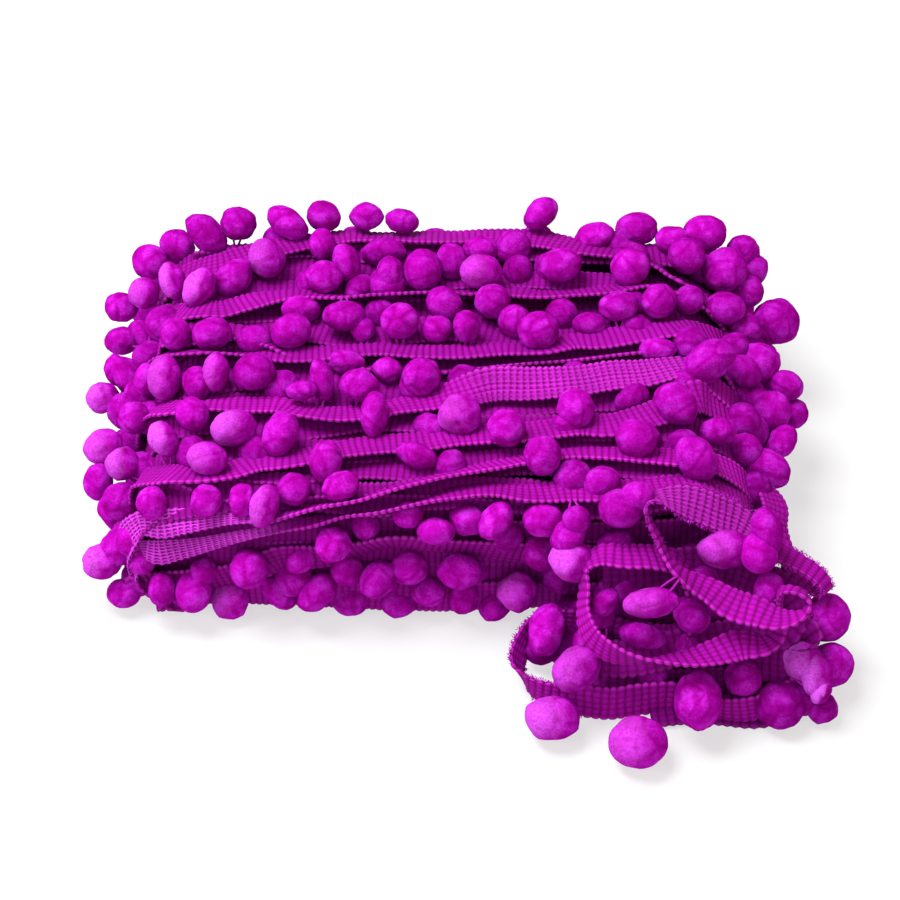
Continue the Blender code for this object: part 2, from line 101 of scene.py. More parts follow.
def newMaterial(name):
    material = bpy.data.materials.new(name)
    material.use_nodes = True
    tree = material.node_tree
    return material, tree, tree.nodes["Principled BSDF"]


def addNode(tree, kind, **settings):
    node = tree.nodes.new(kind)
    for key, value in settings.items():
        if key.startswith("in_"):
            slot = key[3:]
            node.inputs[int(slot) if slot.isdigit() else slot.replace("_", " ")].default_value = value
        else:
            setattr(node, key, value)
    return node


def mathNode(tree, operation, first, second=None, third=None):
    node = addNode(tree, "ShaderNodeMath", operation=operation)
    for place, value in enumerate((first, second, third)):
        if value is None:
            continue
        if isinstance(value, (int, float)):
            node.inputs[place].default_value = value
        else:
            tree.links.new(value, node.inputs[place])
    return node.outputs[0]


def mixColour(tree, share, first, second, blend="MIX"):
    node = addNode(tree, "ShaderNodeMix", data_type="RGBA", blend_type=blend)
    for place, value in ((0, share), (6, first), (7, second)):
        if isinstance(value, (int, float, tuple)):
            node.inputs[place].default_value = value
        else:
            tree.links.new(value, node.inputs[place])
    return node.outputs[2]


def pointValue(tree, name):
    return addNode(tree, "ShaderNodeAttribute", attribute_name=name).outputs["Fac"]


def objectPattern(tree, kind, **settings):
    # a pattern that is fixed to the piece's own coordinates
    pattern = addNode(tree, kind, **settings)
    tree.links.new(addNode(tree, "ShaderNodeTexCoord").outputs["Object"], pattern.inputs["Vector"])
    return pattern.outputs


def objectNoise(tree, scale, detail, roughness):
    return objectPattern(
        tree, "ShaderNodeTexNoise", in_Scale=scale, in_Detail=detail, in_Roughness=roughness)["Fac"]


def limited(tree, value, low, high):
    return mathNode(tree, "MINIMUM", mathNode(tree, "MAXIMUM", value, low), high)


def zigzag(tree, value, count=1.0):
    # 1 at each whole count and 0 halfway between two
    part = mathNode(tree, "FRACT", mathNode(tree, "MULTIPLY", value, count))
    return mathNode(tree, "ABSOLUTE", mathNode(tree, "MULTIPLY_ADD", part, 2.0, -1.0))


def timesTone(tree, colour, toneAndShade):
    grey = addNode(tree, "ShaderNodeCombineColor")
    for channel in range(3):
        tree.links.new(toneAndShade, grey.inputs[channel])
    return mixColour(tree, 1.0, colour, grey.outputs[0], "MULTIPLY")


def bumpFrom(tree, shader, height, strength, distance):
    bump = addNode(tree, "ShaderNodeBump", in_Strength=strength, in_Distance=distance)
    tree.links.new(height, bump.inputs["Height"])
    tree.links.new(bump.outputs["Normal"], shader.inputs["Normal"])


feltLook = {
    "deep": (0.200, 0.0005, 0.140, 1.0),
    "base": (0.335, 0.0025, 0.310, 1.0),
    "pale": (0.470, 0.0220, 0.540, 1.0),
    # the colour of the painted highlight on the felt
    "paintedHighlight": (0.55, 0.080, 0.66, 1.0),
    "blotchScale": 260.0,
    "fibreScale": 1900.0,
    "creaseScale": 115.0,
    "creaseSharpness": 11.0,
    "bump": 0.5,
    "bumpDepth": 0.0005,
}


def pompomFelt():
    material, tree, shader = newMaterial("pompomFelt")
    blotch = objectNoise(tree, feltLook["blotchScale"], 3.0, 0.6)
    fibre = objectNoise(tree, feltLook["fibreScale"], 4.0, 0.7)
    cells = objectPattern(
        tree, "ShaderNodeTexVoronoi", feature="DISTANCE_TO_EDGE", in_Scale=feltLook["creaseScale"])
    crease = mathNode(tree, "MULTIPLY", cells["Distance"], feltLook["creaseSharpness"])
    crease = mathNode(tree, "MINIMUM", crease, 1.0)
    mottle = mathNode(tree, "MULTIPLY_ADD", blotch, 0.6, mathNode(tree, "MULTIPLY", fibre, 0.4))
    # painted shade: the felt is darkened along the creases, which the bump also sinks
    mottle = mathNode(tree, "ADD", mottle, mathNode(tree, "MULTIPLY_ADD", crease, 0.10, -0.09))
    ramp = addNode(tree, "ShaderNodeValToRGB")
    ramp.color_ramp.elements[0].position = 0.30
    ramp.color_ramp.elements[0].color = feltLook["deep"]
    ramp.color_ramp.elements[1].position = 0.68
    ramp.color_ramp.elements[1].color = feltLook["pale"]
    middle = ramp.color_ramp.elements.new(0.50)
    middle.color = feltLook["base"]
    tree.links.new(mottle, ramp.inputs["Fac"])
    # the tone darkens the deeper and buried pompoms as painted shade and varies at random
    toned = timesTone(tree, ramp.outputs["Color"], pointValue(tree, "toneAndShade"))
    # painted highlight: the felt turns lavender-white on its side that faces the light from the left,
    # broken up by the fibres
    highlightShare = mathNode(tree, "MULTIPLY_ADD", fibre, 2.0, -0.42)
    highlightShare = limited(tree, mathNode(tree, "MULTIPLY", pointValue(tree, "paintedHighlight"), highlightShare), 0.0, 0.9)
    tree.links.new(mixColour(tree, highlightShare, toned, feltLook["paintedHighlight"]), shader.inputs["Base Color"])
    shader.inputs["Roughness"].default_value = 0.95
    shader.inputs["Specular IOR Level"].default_value = 0.0
    height = mathNode(tree, "MULTIPLY_ADD", blotch, 0.7, mathNode(tree, "MULTIPLY", crease, 0.6))
    height = mathNode(tree, "ADD", height, fibre)
    bumpFrom(tree, shader, height, feltLook["bump"], feltLook["bumpDepth"])
    return material


tapeLook = {
    # painted shade in the valleys between the ribs
    "valleyShade": (0.200, 0.0008, 0.150, 1.0),
    "crest": (0.315, 0.0034, 0.300, 1.0),
    # painted highlight on the edge beads
    "beadHighlight": (0.50, 0.030, 0.46, 1.0),
    # painted shade in the holes of the stretched net and a painted highlight on its threads
    "holeShade": (0.095, 0.0005, 0.105, 1.0),
    "netThread": (0.62, 0.042, 0.60, 1.0),
    "netCount": 8.0,
    "warpCount": 6.0,
    "warpDepth": 0.8,
}


def tapeCotton():
    # the map's first value counts ribs along the tape, the second goes across it
    # open: 0 a plain ribbed face, 1 one with warp grooves, 2 a stretched net
    material, tree, shader = newMaterial("tapeCotton")
    run = addNode(tree, "ShaderNodeSeparateXYZ")
    tree.links.new(addNode(tree, "ShaderNodeTexCoord").outputs["UV"], run.inputs[0])
    fibre = objectNoise(tree, 1300.0, 3.0, 0.7)
    blotch = objectNoise(tree, 120.0, 2.0, 0.5)
    along = mathNode(tree, "ADD", run.outputs[0], mathNode(tree, "MULTIPLY_ADD", blotch, 0.5, -0.25))
    across = run.outputs[1]
    peak = mathNode(tree, "SUBTRACT", 1.0, zigzag(tree, along))
    rib = mathNode(tree, "SMOOTH_MIN", mathNode(tree, "MULTIPLY", peak, 1.7), 1.0, 0.3)
    warp = mathNode(tree, "POWER", zigzag(tree, across, tapeLook["warpCount"]), 3.0)
    strand = mathNode(tree, "SUBTRACT", 1.0, zigzag(tree, across, tapeLook["netCount"]))
    strand = mathNode(tree, "POWER", strand, 1.7)
    cross = mathNode(tree, "MULTIPLY", mathNode(tree, "POWER", peak, 2.2), 0.75)
    netting = mathNode(tree, "MAXIMUM", cross, strand)
    netting = mathNode(tree, "MULTIPLY", netting, mathNode(tree, "MULTIPLY_ADD", fibre, 1.1, 0.40))
    openFace = pointValue(tree, "open")
    grooved = mathNode(tree, "MINIMUM", openFace, 1.0)
    net = mathNode(tree, "MAXIMUM", mathNode(tree, "SUBTRACT", openFace, 1.0), 0.0)
    groove = mathNode(tree, "MULTIPLY", grooved, mathNode(tree, "MULTIPLY", warp, tapeLook["warpDepth"]))
    face = mathNode(tree, "SUBTRACT", rib, groove)
    face = mathNode(tree, "ADD", face, mathNode(tree, "MULTIPLY_ADD", fibre, 0.5, -0.25))
    # painted shade: the colour darkens in the valleys between the ribs and in the warp grooves
    colour = mixColour(tree, face, tapeLook["valleyShade"], tapeLook["crest"])
    colour.node.clamp_factor = True
    # painted highlight along the edge beads, strongest on the rib crests
    border = mathNode(tree, "ABSOLUTE", mathNode(tree, "MULTIPLY_ADD", across, 2.0, -1.0))
    border = limited(tree, mathNode(tree, "MULTIPLY_ADD", border, 6.0, -4.9), 0.0, 0.45)
    colour = mixColour(tree, mathNode(tree, "MULTIPLY", border, rib), colour, tapeLook["beadHighlight"])
    # the stretched net: threads painted light as a painted highlight, over holes painted dark as painted
    # shade
    stretched = mixColour(tree, netting, tapeLook["holeShade"], tapeLook["netThread"])
    colour = mixColour(tree, net, colour, stretched)
    # the tone darkens turns that lie beneath, on the sides or inside the heap as painted shade, and the
    # blotches make it uneven at random
    uneven = mathNode(tree, "MULTIPLY_ADD", blotch, 0.5, 0.75)
    toned = timesTone(tree, colour, mathNode(tree, "MULTIPLY", pointValue(tree, "toneAndShade"), uneven))
    tree.links.new(toned, shader.inputs["Base Color"])
    shader.inputs["Roughness"].default_value = 0.8
    shader.inputs["Specular IOR Level"].default_value = 0.04
    height = mathNode(tree, "MULTIPLY_ADD", fibre, 0.5, face)
    bumpFrom(tree, shader, height, 0.6, 0.0004)
    return material


def threadCotton():
    material, tree, shader = newMaterial("threadCotton")
    fibre = objectNoise(tree, 1800.0, 2.0, 0.6)
    colour = mixColour(tree, fibre, (0.18, 0.001, 0.16, 1.0), (0.45, 0.010, 0.45, 1.0))
    tree.links.new(colour, shader.inputs["Base Color"])
    shader.inputs["Roughness"].default_value = 0.9
    shader.inputs["Specular IOR Level"].default_value = 0.1
    bumpFrom(tree, shader, fibre, 0.5, 0.0003)
    return material


def packedCottonShade():
    # the imported middle that shows between the turns, coloured dark and ribbed as the painted shade deep
    # between them
    material, tree, shader = newMaterial("packedCottonShade")
    bands = objectPattern(
        tree, "ShaderNodeTexWave", bands_direction="X", in_Scale=210.0, in_Distortion=2.5)["Fac"]
    fibre = objectNoise(tree, 900.0, 3.0, 0.6)
    colour = mixColour(tree, bands, (0.120, 0.0005, 0.085, 1.0), (0.25, 0.0010, 0.19, 1.0))
    tree.links.new(colour, shader.inputs["Base Color"])
    shader.inputs["Roughness"].default_value = 0.95
    shader.inputs["Specular IOR Level"].default_value = 0.1
    bumpFrom(tree, shader, mathNode(tree, "ADD", bands, fibre), 0.8, 0.0008)
    return material


felt = pompomFelt()
tape = tapeCotton()
threads = threadCotton()
packed = packedCottonShade()
print("materials made")

# the bundle's form
bundle = {
    "length": 162.0, "depth": 104.0, "height": 42.0, "x": -4.5, "y": 23.0, "z": 21.0,
    "shoulder": 7.0, "turnRadius": 20.4, "straightHalf": 60.6, "layerStep": 0.7,
    "arcStations": 5, "undersideStations": 4, "undersideMargin": 6.25,
}


# where the turns and the tail are stretched open, up to a full net at 2
stretchedTape = {
    "fanFrom": -40, "fanOver": 10, "fanLowest": 15,
    "bandFrom": -2, "bandOver": 12, "bandLowest": 40, "bandNet": 0.40,
    "backFrom": -40, "backOver": 3, "backLowest": 36, "backRight": 74, "backNet": 0.45,
}


def fanOpenness(x, y, z):
    # the turns that fan out at the left end
    part = clamp((stretchedTape["fanFrom"] - x) / stretchedTape["fanOver"], 0.0, 1.0)
    return 1.0 + (part if z > stretchedTape["fanLowest"] else 0.0)


def bandOpenness(x, y, z):
    # the bright turn in the middle of the top
    part = clamp((x - stretchedTape["bandFrom"]) / stretchedTape["bandOver"], 0.0, 1.0)
    return 1.0 + (stretchedTape["bandNet"] * part if z > stretchedTape["bandLowest"] else 0.0)


def tailOpenness(x, y, z):
    # the back band of the tail
    part = clamp((y - stretchedTape["backFrom"]) / stretchedTape["backOver"], 0.0, 1.0)
    inBand = z > stretchedTape["backLowest"] and x < stretchedTape["backRight"]
    return 1.0 + (stretchedTape["backNet"] * part if inBand else 0.0)


# name: left crossing y, right crossing y, layer, tone, with painted shade on the sides, openness,
# and rows of x, y, z, roll and, where the tape is folded narrower, the share of its width
turns = {
    "farLow": (73, 73, 0, 0.8, 0.3, ((-62, 74, 15, 90), (0, 74, 16, 90), (54, 74, 14, 90))),
    "farHigh": (71, 70, 1, 0.8, 0.3, ((-62, 74, 30, 80), (-8, 74, 32, 85), (54, 74, 29, 80))),
    "farRim": (62, 52, 0, 0.9, 1.0, (
        (-65, 62, 42.5, 0), (-50, 68, 43, -10), (-33, 73, 42.5, -20), (-22, 73, 42.5, -25),
        (-11, 73, 42.5, -20), (0, 73, 42.5, -20), (12, 73, 42.5, -15), (23, 72, 42.5, -10),
        (34, 68, 43, -15), (45, 65, 43, -25), (52, 62, 43, -35), (57, 57, 43, -45), (62, 52, 42.5, -40),
    )),
    "second": (50, 46, 1, 0.9, 0.7, (
        (-84, 50, 32, -5), (-76, 44, 40, -15), (-69, 42, 43, -15), (-64, 42, 43, -15), (-58, 44, 43.5, -15),
        (-52, 46, 43.5, -20), (-43, 47, 44, -30), (-32, 46, 44, -37), (-22, 47, 44, -40),
        (-8, 48, 44, -40), (3, 48, 43.5, -35), (14, 49, 43, -25), (23, 48, 43, -30), (33, 49, 43, -30),
        (41, 50, 43, -30), (52, 52, 43, -35), (60, 50, 42, -35),
    )),
    "underSecond": (42, 22, 0, 0.95, 1.0, (
        (-80, 37, 38, 0), (-76, 35, 40, 0), (-67, 33, 42.5, -5), (-59, 33, 42.5, -15), (-51, 30, 42, -25),
        (-43, 26, 41, -30), (-26, 22, 40.5, -35), (-10, 20, 40.5, -35), (11, 23, 40, -40),
        (32, 26, 40, -35), (48, 28, 40.5, -35), (60, 30, 40.5, -30),
    )),
    "third": (34, 42, 1, 0.85, 0.1, (
        (-80, 30, 37, -40), (-69, 25, 43, -40), (-58, 24, 43, -40), (-50, 24, 43, -22), (-42, 24, 43, -17),
        (-32, 25, 43, -20), (-21, 26, 43, -24), (-11, 25, 43, -22), (0, 25, 43, -22), (11, 26, 43, -22),
        (22, 26, 43, -26), (30, 29, 43, -18), (38, 30, 43, -10), (49, 32, 43.5, -15), (59, 34, 43, -20),
    )),
    "bright": (15, 14, 1, 1.1, bandOpenness, (
        (-80, 9, 37, -30), (-73, 5, 41.5, -25), (-65, 5, 42.5, -25), (-57, 5, 42.5, -17),
        (-47, 5, 42.5, -20),
        (-39, 2, 43, -25), (-31, 1, 43, -22), (-23, 2, 43, -22), (-16, 4, 43, -20), (-8, 6, 43, -10),
        (0, 8, 44, 10), (8, 11, 44.5, 38), (18, 11, 44.5, 32), (29, 12, 44.5, 18), (40, 14, 44.5, 12),
        (50, 16, 44, 5), (60, 19, 43, -10),
    )),
    "middle": (-10, 14, 0, 0.95, 0.6, (
        (-82, -14, 34.5, -25), (-74, -19, 41, -20), (-66, -21, 42.5, -25), (-58, -19, 42.5, -20),
        (-51, -16, 42.5, -18), (-41, -15, 43, -20), (-31, -12, 43, -18), (-20, -10, 43, -14),
        (-10, -9, 43, -12), (0, -7, 43, -12), (10, -6, 43, -12), (21, -5, 43, -12), (31, -3, 43, -8),
        (39, -3, 43, -8), (52, 2, 43, 0), (62, 8, 42.5, 20),
    )),
    "rising": (-25, -11, 1, 1.1, fanOpenness, (
        (-82, -27, 31, 50, 0.7), (-76, -29, 33.5, 50, 0.8), (-71, -29, 34.5, 45, 0.75),
        (-65, -29, 35, 40, 0.6),
        (-58, -29, 36, 30, 0.45), (-50, -30, 37, 0, 0.42), (-44, -30, 38, -30, 0.7), (-35, -29, 40, -40, 1),
        (-25, -28, 41.5, -40), (-15, -25, 43, -40), (-5, -22, 43.5, -37), (5, -19, 43.5, -35),
        (15, -16, 43, -35), (26, -13, 42.5, -30), (41, -13, 42.5, -25), (59, -15, 42.5, -15),
    )),
    "shoulder": (-26, -21, 0, 0.95, fanOpenness, (
        (-82, -28.5, 23.5, 65, 0.6), (-77, -30.5, 24.5, 60, 0.72), (-72, -31, 26, 55, 0.6),
        (-65, -31, 28, 55, 0.45), (-57, -31, 30.5, 50, 0.34), (-49, -31, 33, 30, 0.28),
        (-40, -31, 35.5, 0, 0.4),
        (-30, -30, 37.5, -35, 0.8), (-20, -30, 39, -40, 1), (-10, -28, 40.5, -40), (-2, -26, 41.5, -28),
        (8, -25, 42, -25), (18, -26, 41.5, -20), (28, -25, 41.5, -12), (38, -25, 41.5, -15),
        (58, -23, 42, -25),
    )),
    "nearSide": (-27, -27, 0, 0.85, 0.8, (
        (-82, -28, 10, 95), (-67, -29.5, 13, 95), (-54, -30, 17, 90, 0.9), (-47, -30, 21.5, 88, 0.85),
        (-41, -30, 22, 88, 0.85), (-35, -30, 22.5, 95, 0.9), (-26, -30, 25.5, 115, 1), (-17, -30, 28, 120),
        (-8, -30, 27, 115), (5, -30, 25.5, 112), (15, -29.5, 23.5, 105), (36, -29, 21, 95),
        (56, -29, 17, 95),
    )),
    "nearFoot": (-26, -26, 1, 0.85, 0.6, (
        (-62, -29, 8, 90), (-16, -29.5, 6.5, 80), (5, -29.5, 6.5, 80), (54, -29, 7, 90),
    )),
}


def slabDistance(x, y, z):
    # how far a point is outside the bundle's own surface, less than 0 inside
    pastStraight = max(abs(x - bundle["x"]) - bundle["straightHalf"], 0.0)
    section = math.hypot(pastStraight, z - bundle["z"]) - bundle["z"] + bundle["shoulder"]
    depth = abs(y - bundle["y"]) - bundle["depth"] / 2 + bundle["shoulder"]
    outside = math.hypot(max(section, 0.0), max(depth, 0.0))
    return min(max(section, depth), 0.0) + outside - bundle["shoulder"]


def heightOver(x, y, standOff, lowest=26.2):
    # the height at which a middle stands this far off the top
    z = bundle["height"] + standOff
    while z > lowest and slabDistance(x, y, z) > standOff:
        z -= 0.25
    return z


# tape
ribbon = {
    "halfWidth": 4.55,      # in the valleys between the edge beads
    "beadReach": 0.42,      # how much further each bead stands out
    "faceHalf": 0.28,
    "ribRise": 0.12,
    "edgeHalf": 0.32,
    "beadRise": 0.20,
    "pitch": 1.75,
    "tailPitch": 2.1,
    "waver": 0.35,
    "rollWaver": 5.0,
}
acrossSteps = (-1.0, -0.88, -0.62, 0.0, 0.62, 0.88, 1.0, 0.88, 0.62, 0.0, -0.62, -0.88)


def splineThrough(rows, closed, steps=12):
    # a smooth dense curve through rows of x, y, z, roll or of x, y, z and more
    rows = np.array(rows, dtype=float)
    if closed:
        full = np.vstack([rows[-1], rows, rows[0], rows[1]])
    else:
        full = np.vstack([2 * rows[0] - rows[1], rows, 2 * rows[-1] - rows[-2]])
    t = np.linspace(0, 1, steps, endpoint=False)[:, None]
    spans = []
    for k in range(len(full) - 3):
        before, start, end, after = full[k:k + 4]
        spans.append(0.5 * (
            2 * start + (end - before) * t
            + (2 * before - 5 * start + 4 * end - after) * t ** 2
            + (3 * start - before - 3 * end + after) * t ** 3
        ))
    curve = np.vstack(spans)
    curve[:, 2] = np.maximum(curve[:, 2], rows[:, 2].min())
    return curve if closed else np.vstack([curve, rows[-1]])


def unit(rows):
    return rows / np.maximum(np.linalg.norm(rows, axis=1), 1e-9)[:, None]


def levelled(runs, wavers, extra):
    # across directions of a turn, level at roll 0 and on edge at 90, and its shares of width
    rolls = wavers + np.radians(extra[:, 0])
    inward = unit(np.cross([0.0, 1.0, 0.0], runs))
    sides = np.cross(runs, inward) * np.cos(rolls)[:, None] - inward * np.sin(rolls)[:, None]
    return sides, extra[:, 1]


def leaning(runs, rolls, leans):
    # across directions of the tail and its shares of width, taken from its table
    sides = leans[:, :3]
    sides = unit(sides - runs * np.sum(sides * runs, axis=1)[:, None])
    reach = 5
    padded = np.vstack([sides[:1]] * reach + [sides] + [sides[-1:]] * reach)
    weights = np.hanning(2 * reach + 3)[1:-1]
    sides = sum(weight * padded[k:k + len(runs)] for k, weight in enumerate(weights))
    sides = unit(sides - runs * np.sum(sides * runs, axis=1)[:, None])
    faces = np.cross(sides, runs)
    return unit(sides * np.cos(rolls)[:, None] + faces * np.sin(rolls)[:, None]), leans[:, 3]


def waver(seed, places, size, stretch):
    return np.array([noise.noise(Vector((place / stretch, seed * 7.3, 0.5))) for place in places]) * size


def ribbedTape(name, rows, closed, seed, toneAndShade, openness, fine, frameOf=levelled):
    # one length of tape: ribs across it, a row of beads along each edge
    rows = [(*row, 1.0) if len(row) == 4 else row for row in rows]
    curve = splineThrough(rows, closed)
    path = np.vstack([curve, curve[:1]]) if closed else curve
    steps = np.linalg.norm(np.diff(path[:, :3], axis=0), axis=1)
    reach = np.concatenate([[0.0], np.cumsum(steps)])
    ribs = int(round(reach[-1] / ribbon["tailPitch" if frameOf is leaning else "pitch"]))
    places = []
    for k in range(ribs):
        middle = np.interp((k + 0.5) / ribs * reach[-1], reach, path[:, 2])
        places += [k + phase for phase in ((0.0, 0.25, 0.5, 0.75) if fine(middle) else (0.0, 0.5))]
    if not closed:
        places.append(ribs)
    places = np.array(places, dtype=float)
    atReach = places / ribs * reach[-1]
    centres = np.stack([np.interp(atReach, reach, path[:, axis]) for axis in range(3)], axis=1)
    columns = range(3, path.shape[1])
    extra = np.stack([np.interp(atReach, reach, path[:, axis]) for axis in columns], axis=1)
    rolls = np.radians(waver(seed, atReach, ribbon["rollWaver"], 16.0))
    if closed:
        runs = unit(np.roll(centres, -1, axis=0) - np.roll(centres, 1, axis=0))
    else:
        runs = unit(np.gradient(centres, axis=0))
    sides, shares = frameOf(runs, rolls, extra)
    faces = unit(np.cross(sides, runs))
    centres = centres + sides * waver(seed + 3, atReach, ribbon["waver"], 9.0)[:, None]
    crest = np.sin(np.pi * (places % 1.0)) ** 0.7
    jitter = 1 + waver(seed + 5, atReach, 0.35, 1.1)
    width = shares * (ribbon["halfWidth"] + ribbon["beadReach"] * crest * jitter)
    middleHalf = ribbon["faceHalf"] + ribbon["ribRise"] * crest
    edgeHalf = ribbon["edgeHalf"] + ribbon["beadRise"] * crest * jitter
    points = []
    for k, share in enumerate(acrossSteps):
        half = 0.0 if abs(share) == 1.0 else (edgeHalf if abs(share) > 0.8 else middleHalf)
        up = half if k < 7 else -half
        lift = faces * (np.zeros(len(places)) + up)[:, None]
        points.append(centres + sides * (share * width)[:, None] + lift)
    points = np.stack(points, axis=1)
    points[:, :, 2] += np.maximum(0.05 - points[:, :, 2].min(axis=1), 0.0)[:, None]  # clear of the floor
    rowCount, loop = len(places), len(acrossSteps)
    first = np.arange(rowCount if closed else rowCount - 1)
    second = (first + 1) % rowCount
    ring = np.arange(loop)
    after = (ring + 1) % loop
    quads = np.stack([
        first[:, None] * loop + ring, first[:, None] * loop + after,
        second[:, None] * loop + after, second[:, None] * loop + ring,
    ], axis=2).reshape(-1, 4)
    flat = points.reshape(-1, 3)
    corners = flat[quads]
    normals = np.cross(corners[:, 1] - corners[:, 0], corners[:, 2] - corners[:, 0])
    volume = np.sum(normals * corners[:, 0])
    turned = volume < 0
    if turned:
        quads = quads[:, ::-1]
    caps = []
    if not closed:
        start = list(range(loop))
        end = [(rowCount - 1) * loop + k for k in range(loop)]
        caps = [start, end[::-1]] if turned else [start[::-1], end]
    piece = meshFromArrays(name, flat, quads, caps)
    along = np.append(places, ribs)
    rowOf = np.minimum(quads // loop, rowCount)
    wraps = closed & (quads // loop == 0) & ((quads // loop).max(axis=1) == rowCount - 1)[:, None]
    ribAt = np.where(wraps, ribs, along[rowOf])
    acrossAt = (np.array(acrossSteps)[quads % loop] + 1) / 2
    layer = piece.data.uv_layers.new(name="ribMap")
    values = np.zeros((len(piece.data.loops), 2))
    values[:quads.size] = np.stack([ribAt, acrossAt], axis=2).reshape(-1, 2)
    layer.data.foreach_set("uv", values.ravel())
    setPointValue(piece.data, "toneAndShade", np.repeat(toneAndShade + waver(seed + 9, atReach, 0.12, 14.0), loop))
    opened = np.array([openness(*spot) if callable(openness) else openness for spot in centres])
    setPointValue(piece.data, "open", np.repeat(opened, loop))
    shadeSmooth(piece)
    tapeMiddles.append(centres)
    tapeEdges.append(centres + sides * width[:, None])
    tapeEdges.append(centres - sides * width[:, None])
    return piece, reach[-1]


def endArc(start, endY, underY, layer, side, radius=bundle["turnRadius"]):
    # rows round one end, from a turn's top run to its underside
    high = radius + bundle["layerStep"] * layer
    foot = radius - bundle["layerStep"] * layer
    angleHigh = math.asin(clamp((start[2] - bundle["z"]) / high, -1.0, 1.0))
    count = bundle["arcStations"]
    arc = []
    for k in range(1, count + 1):
        share = k / (count + 1)
        angle = lerp(angleHigh, -math.pi / 2, share)
        reach = lerp(high, foot, share)
        y = lerp(start[1], endY, 2 * share) if share < 0.5 else lerp(endY, underY, 2 * share - 1)
        arc.append((
            bundle["x"] + side * (bundle["straightHalf"] + reach * math.cos(angle)), y,
            bundle["z"] + reach * math.sin(angle), lerp(start[3], 0, min(1.0, 3 * share)),
        ))
    return arc


tapeEdges = []
tapeMiddles = []
reachY = bundle["depth"] / 2 - bundle["undersideMargin"]
for number, (turnName, turn) in enumerate(turns.items()):
    leftY, rightY, layer, toneAndShade, openness, top = turn
    underY = bundle["y"] + lerp(reachY, -reachY, number / (len(turns) - 1))
    foot = 0.65 + bundle["layerStep"] * layer
    count = bundle["undersideStations"]
    under = [
        (bundle["x"] + bundle["straightHalf"] * (1 - 2 * k / (count - 1)), underY, foot, 0)
        for k in range(count)
    ]
    rows = (
        list(top) + endArc(top[-1], rightY, underY, layer, 1) + under
        + endArc(top[0], leftY, underY, layer, -1)[::-1]
    )
    far = turnName.startswith("far") and turnName != "farRim"
    piece, length = ribbedTape(
        "tapeTurn" + turnName[0].upper() + turnName[1:], rows, True, number, toneAndShade, openness,
        (lambda z: False) if far else (lambda z: z > 5),
    )
    rideAndReplace(piece, "wound_trim", tape)
mainMiddles = np.vstack(tapeMiddles)
print("main turns wound:", len(turns))

# the turns beneath, which close the gaps between the main ones, with a lower tone as painted shade, lowest
# for the deepest
underTurns = {
    "tops": (  # far to near: y at the left end, y at the right end, drop, tone
        (68, 70, 1.6, 0.74), (60, 58, 2.4, 0.68), (52, 55, 1.8, 0.74), (44, 42, 2.6, 0.68),
        (35, 37, 1.8, 0.74), (27, 27, 2.6, 0.68), (18, 20, 1.8, 0.74), (9, 9, 2.6, 0.68),
        (1, 0, 1.8, 0.74), (-8, -6, 2.6, 0.68), (-16, -15, 1.8, 0.74), (-23, -24, 2.2, 0.68),
    ),
    "sides": (  # height, half length, tone, on the near and the far side
        (6.5, 70, 0.74), (14.5, 76, 0.68), (22, 78, 0.74), (29, 76, 0.68), (36, 70, 0.74),
    ),
    "wander": 2.2,
}
spread = random.Random(11)
for number, (leftY, rightY, drop, toneAndShade) in enumerate(underTurns["tops"]):
    rows = []
    for k in range(7):
        x = bundle["x"] + lerp(-1, 1, k / 6) * bundle["straightHalf"]
        y = lerp(leftY, rightY, k / 6) + spread.uniform(-1, 1) * underTurns["wander"]
        edge = clamp((abs(y - bundle["y"]) - 44) / 8, 0, 1)
        roll = spread.uniform(-12, 12) - math.copysign(40 * edge, y - bundle["y"])
        rows.append((x, y, heightOver(x, y, -drop), roll))
    radius = bundle["turnRadius"] - drop
    right = endArc(rows[-1], rows[-1][1], rows[-1][1], 0, 1, radius)
    left = endArc(rows[0], rows[0][1], rows[0][1], 0, -1, radius)
    piece, length = ribbedTape(
        f"underTurn{number:02d}", left[::-1] + rows + right, False, 40 + number, toneAndShade, 0.4,
        lambda z: False,
    )
    rideAndReplace(piece, "wound_trim", tape)
for side in (-1, 1):
    wall = bundle["y"] + side * (bundle["depth"] / 2 - 1.4)
    for number, (height, half, toneAndShade) in enumerate(underTurns["sides"]):
        rows = []
        for k in range(9):
            share = lerp(-1, 1, k / 8)
            tuck = 5.0 if abs(share) == 1 else 0.0
            rows.append((
                bundle["x"] + share * half, wall - side * (tuck + 1.6 * (abs(height - 21) / 15) ** 4),
                height + spread.uniform(-1, 1), 90 + side * spread.uniform(-10, 10),
            ))
        piece, length = ribbedTape(
            ("near" if side < 0 else "far") + f"UnderTurn{number}", rows, False, 70 + number + 9 * side,
            toneAndShade, 0.4, lambda z: False,
        )
        rideAndReplace(piece, "wound_trim", tape)
print("turns beneath wound")

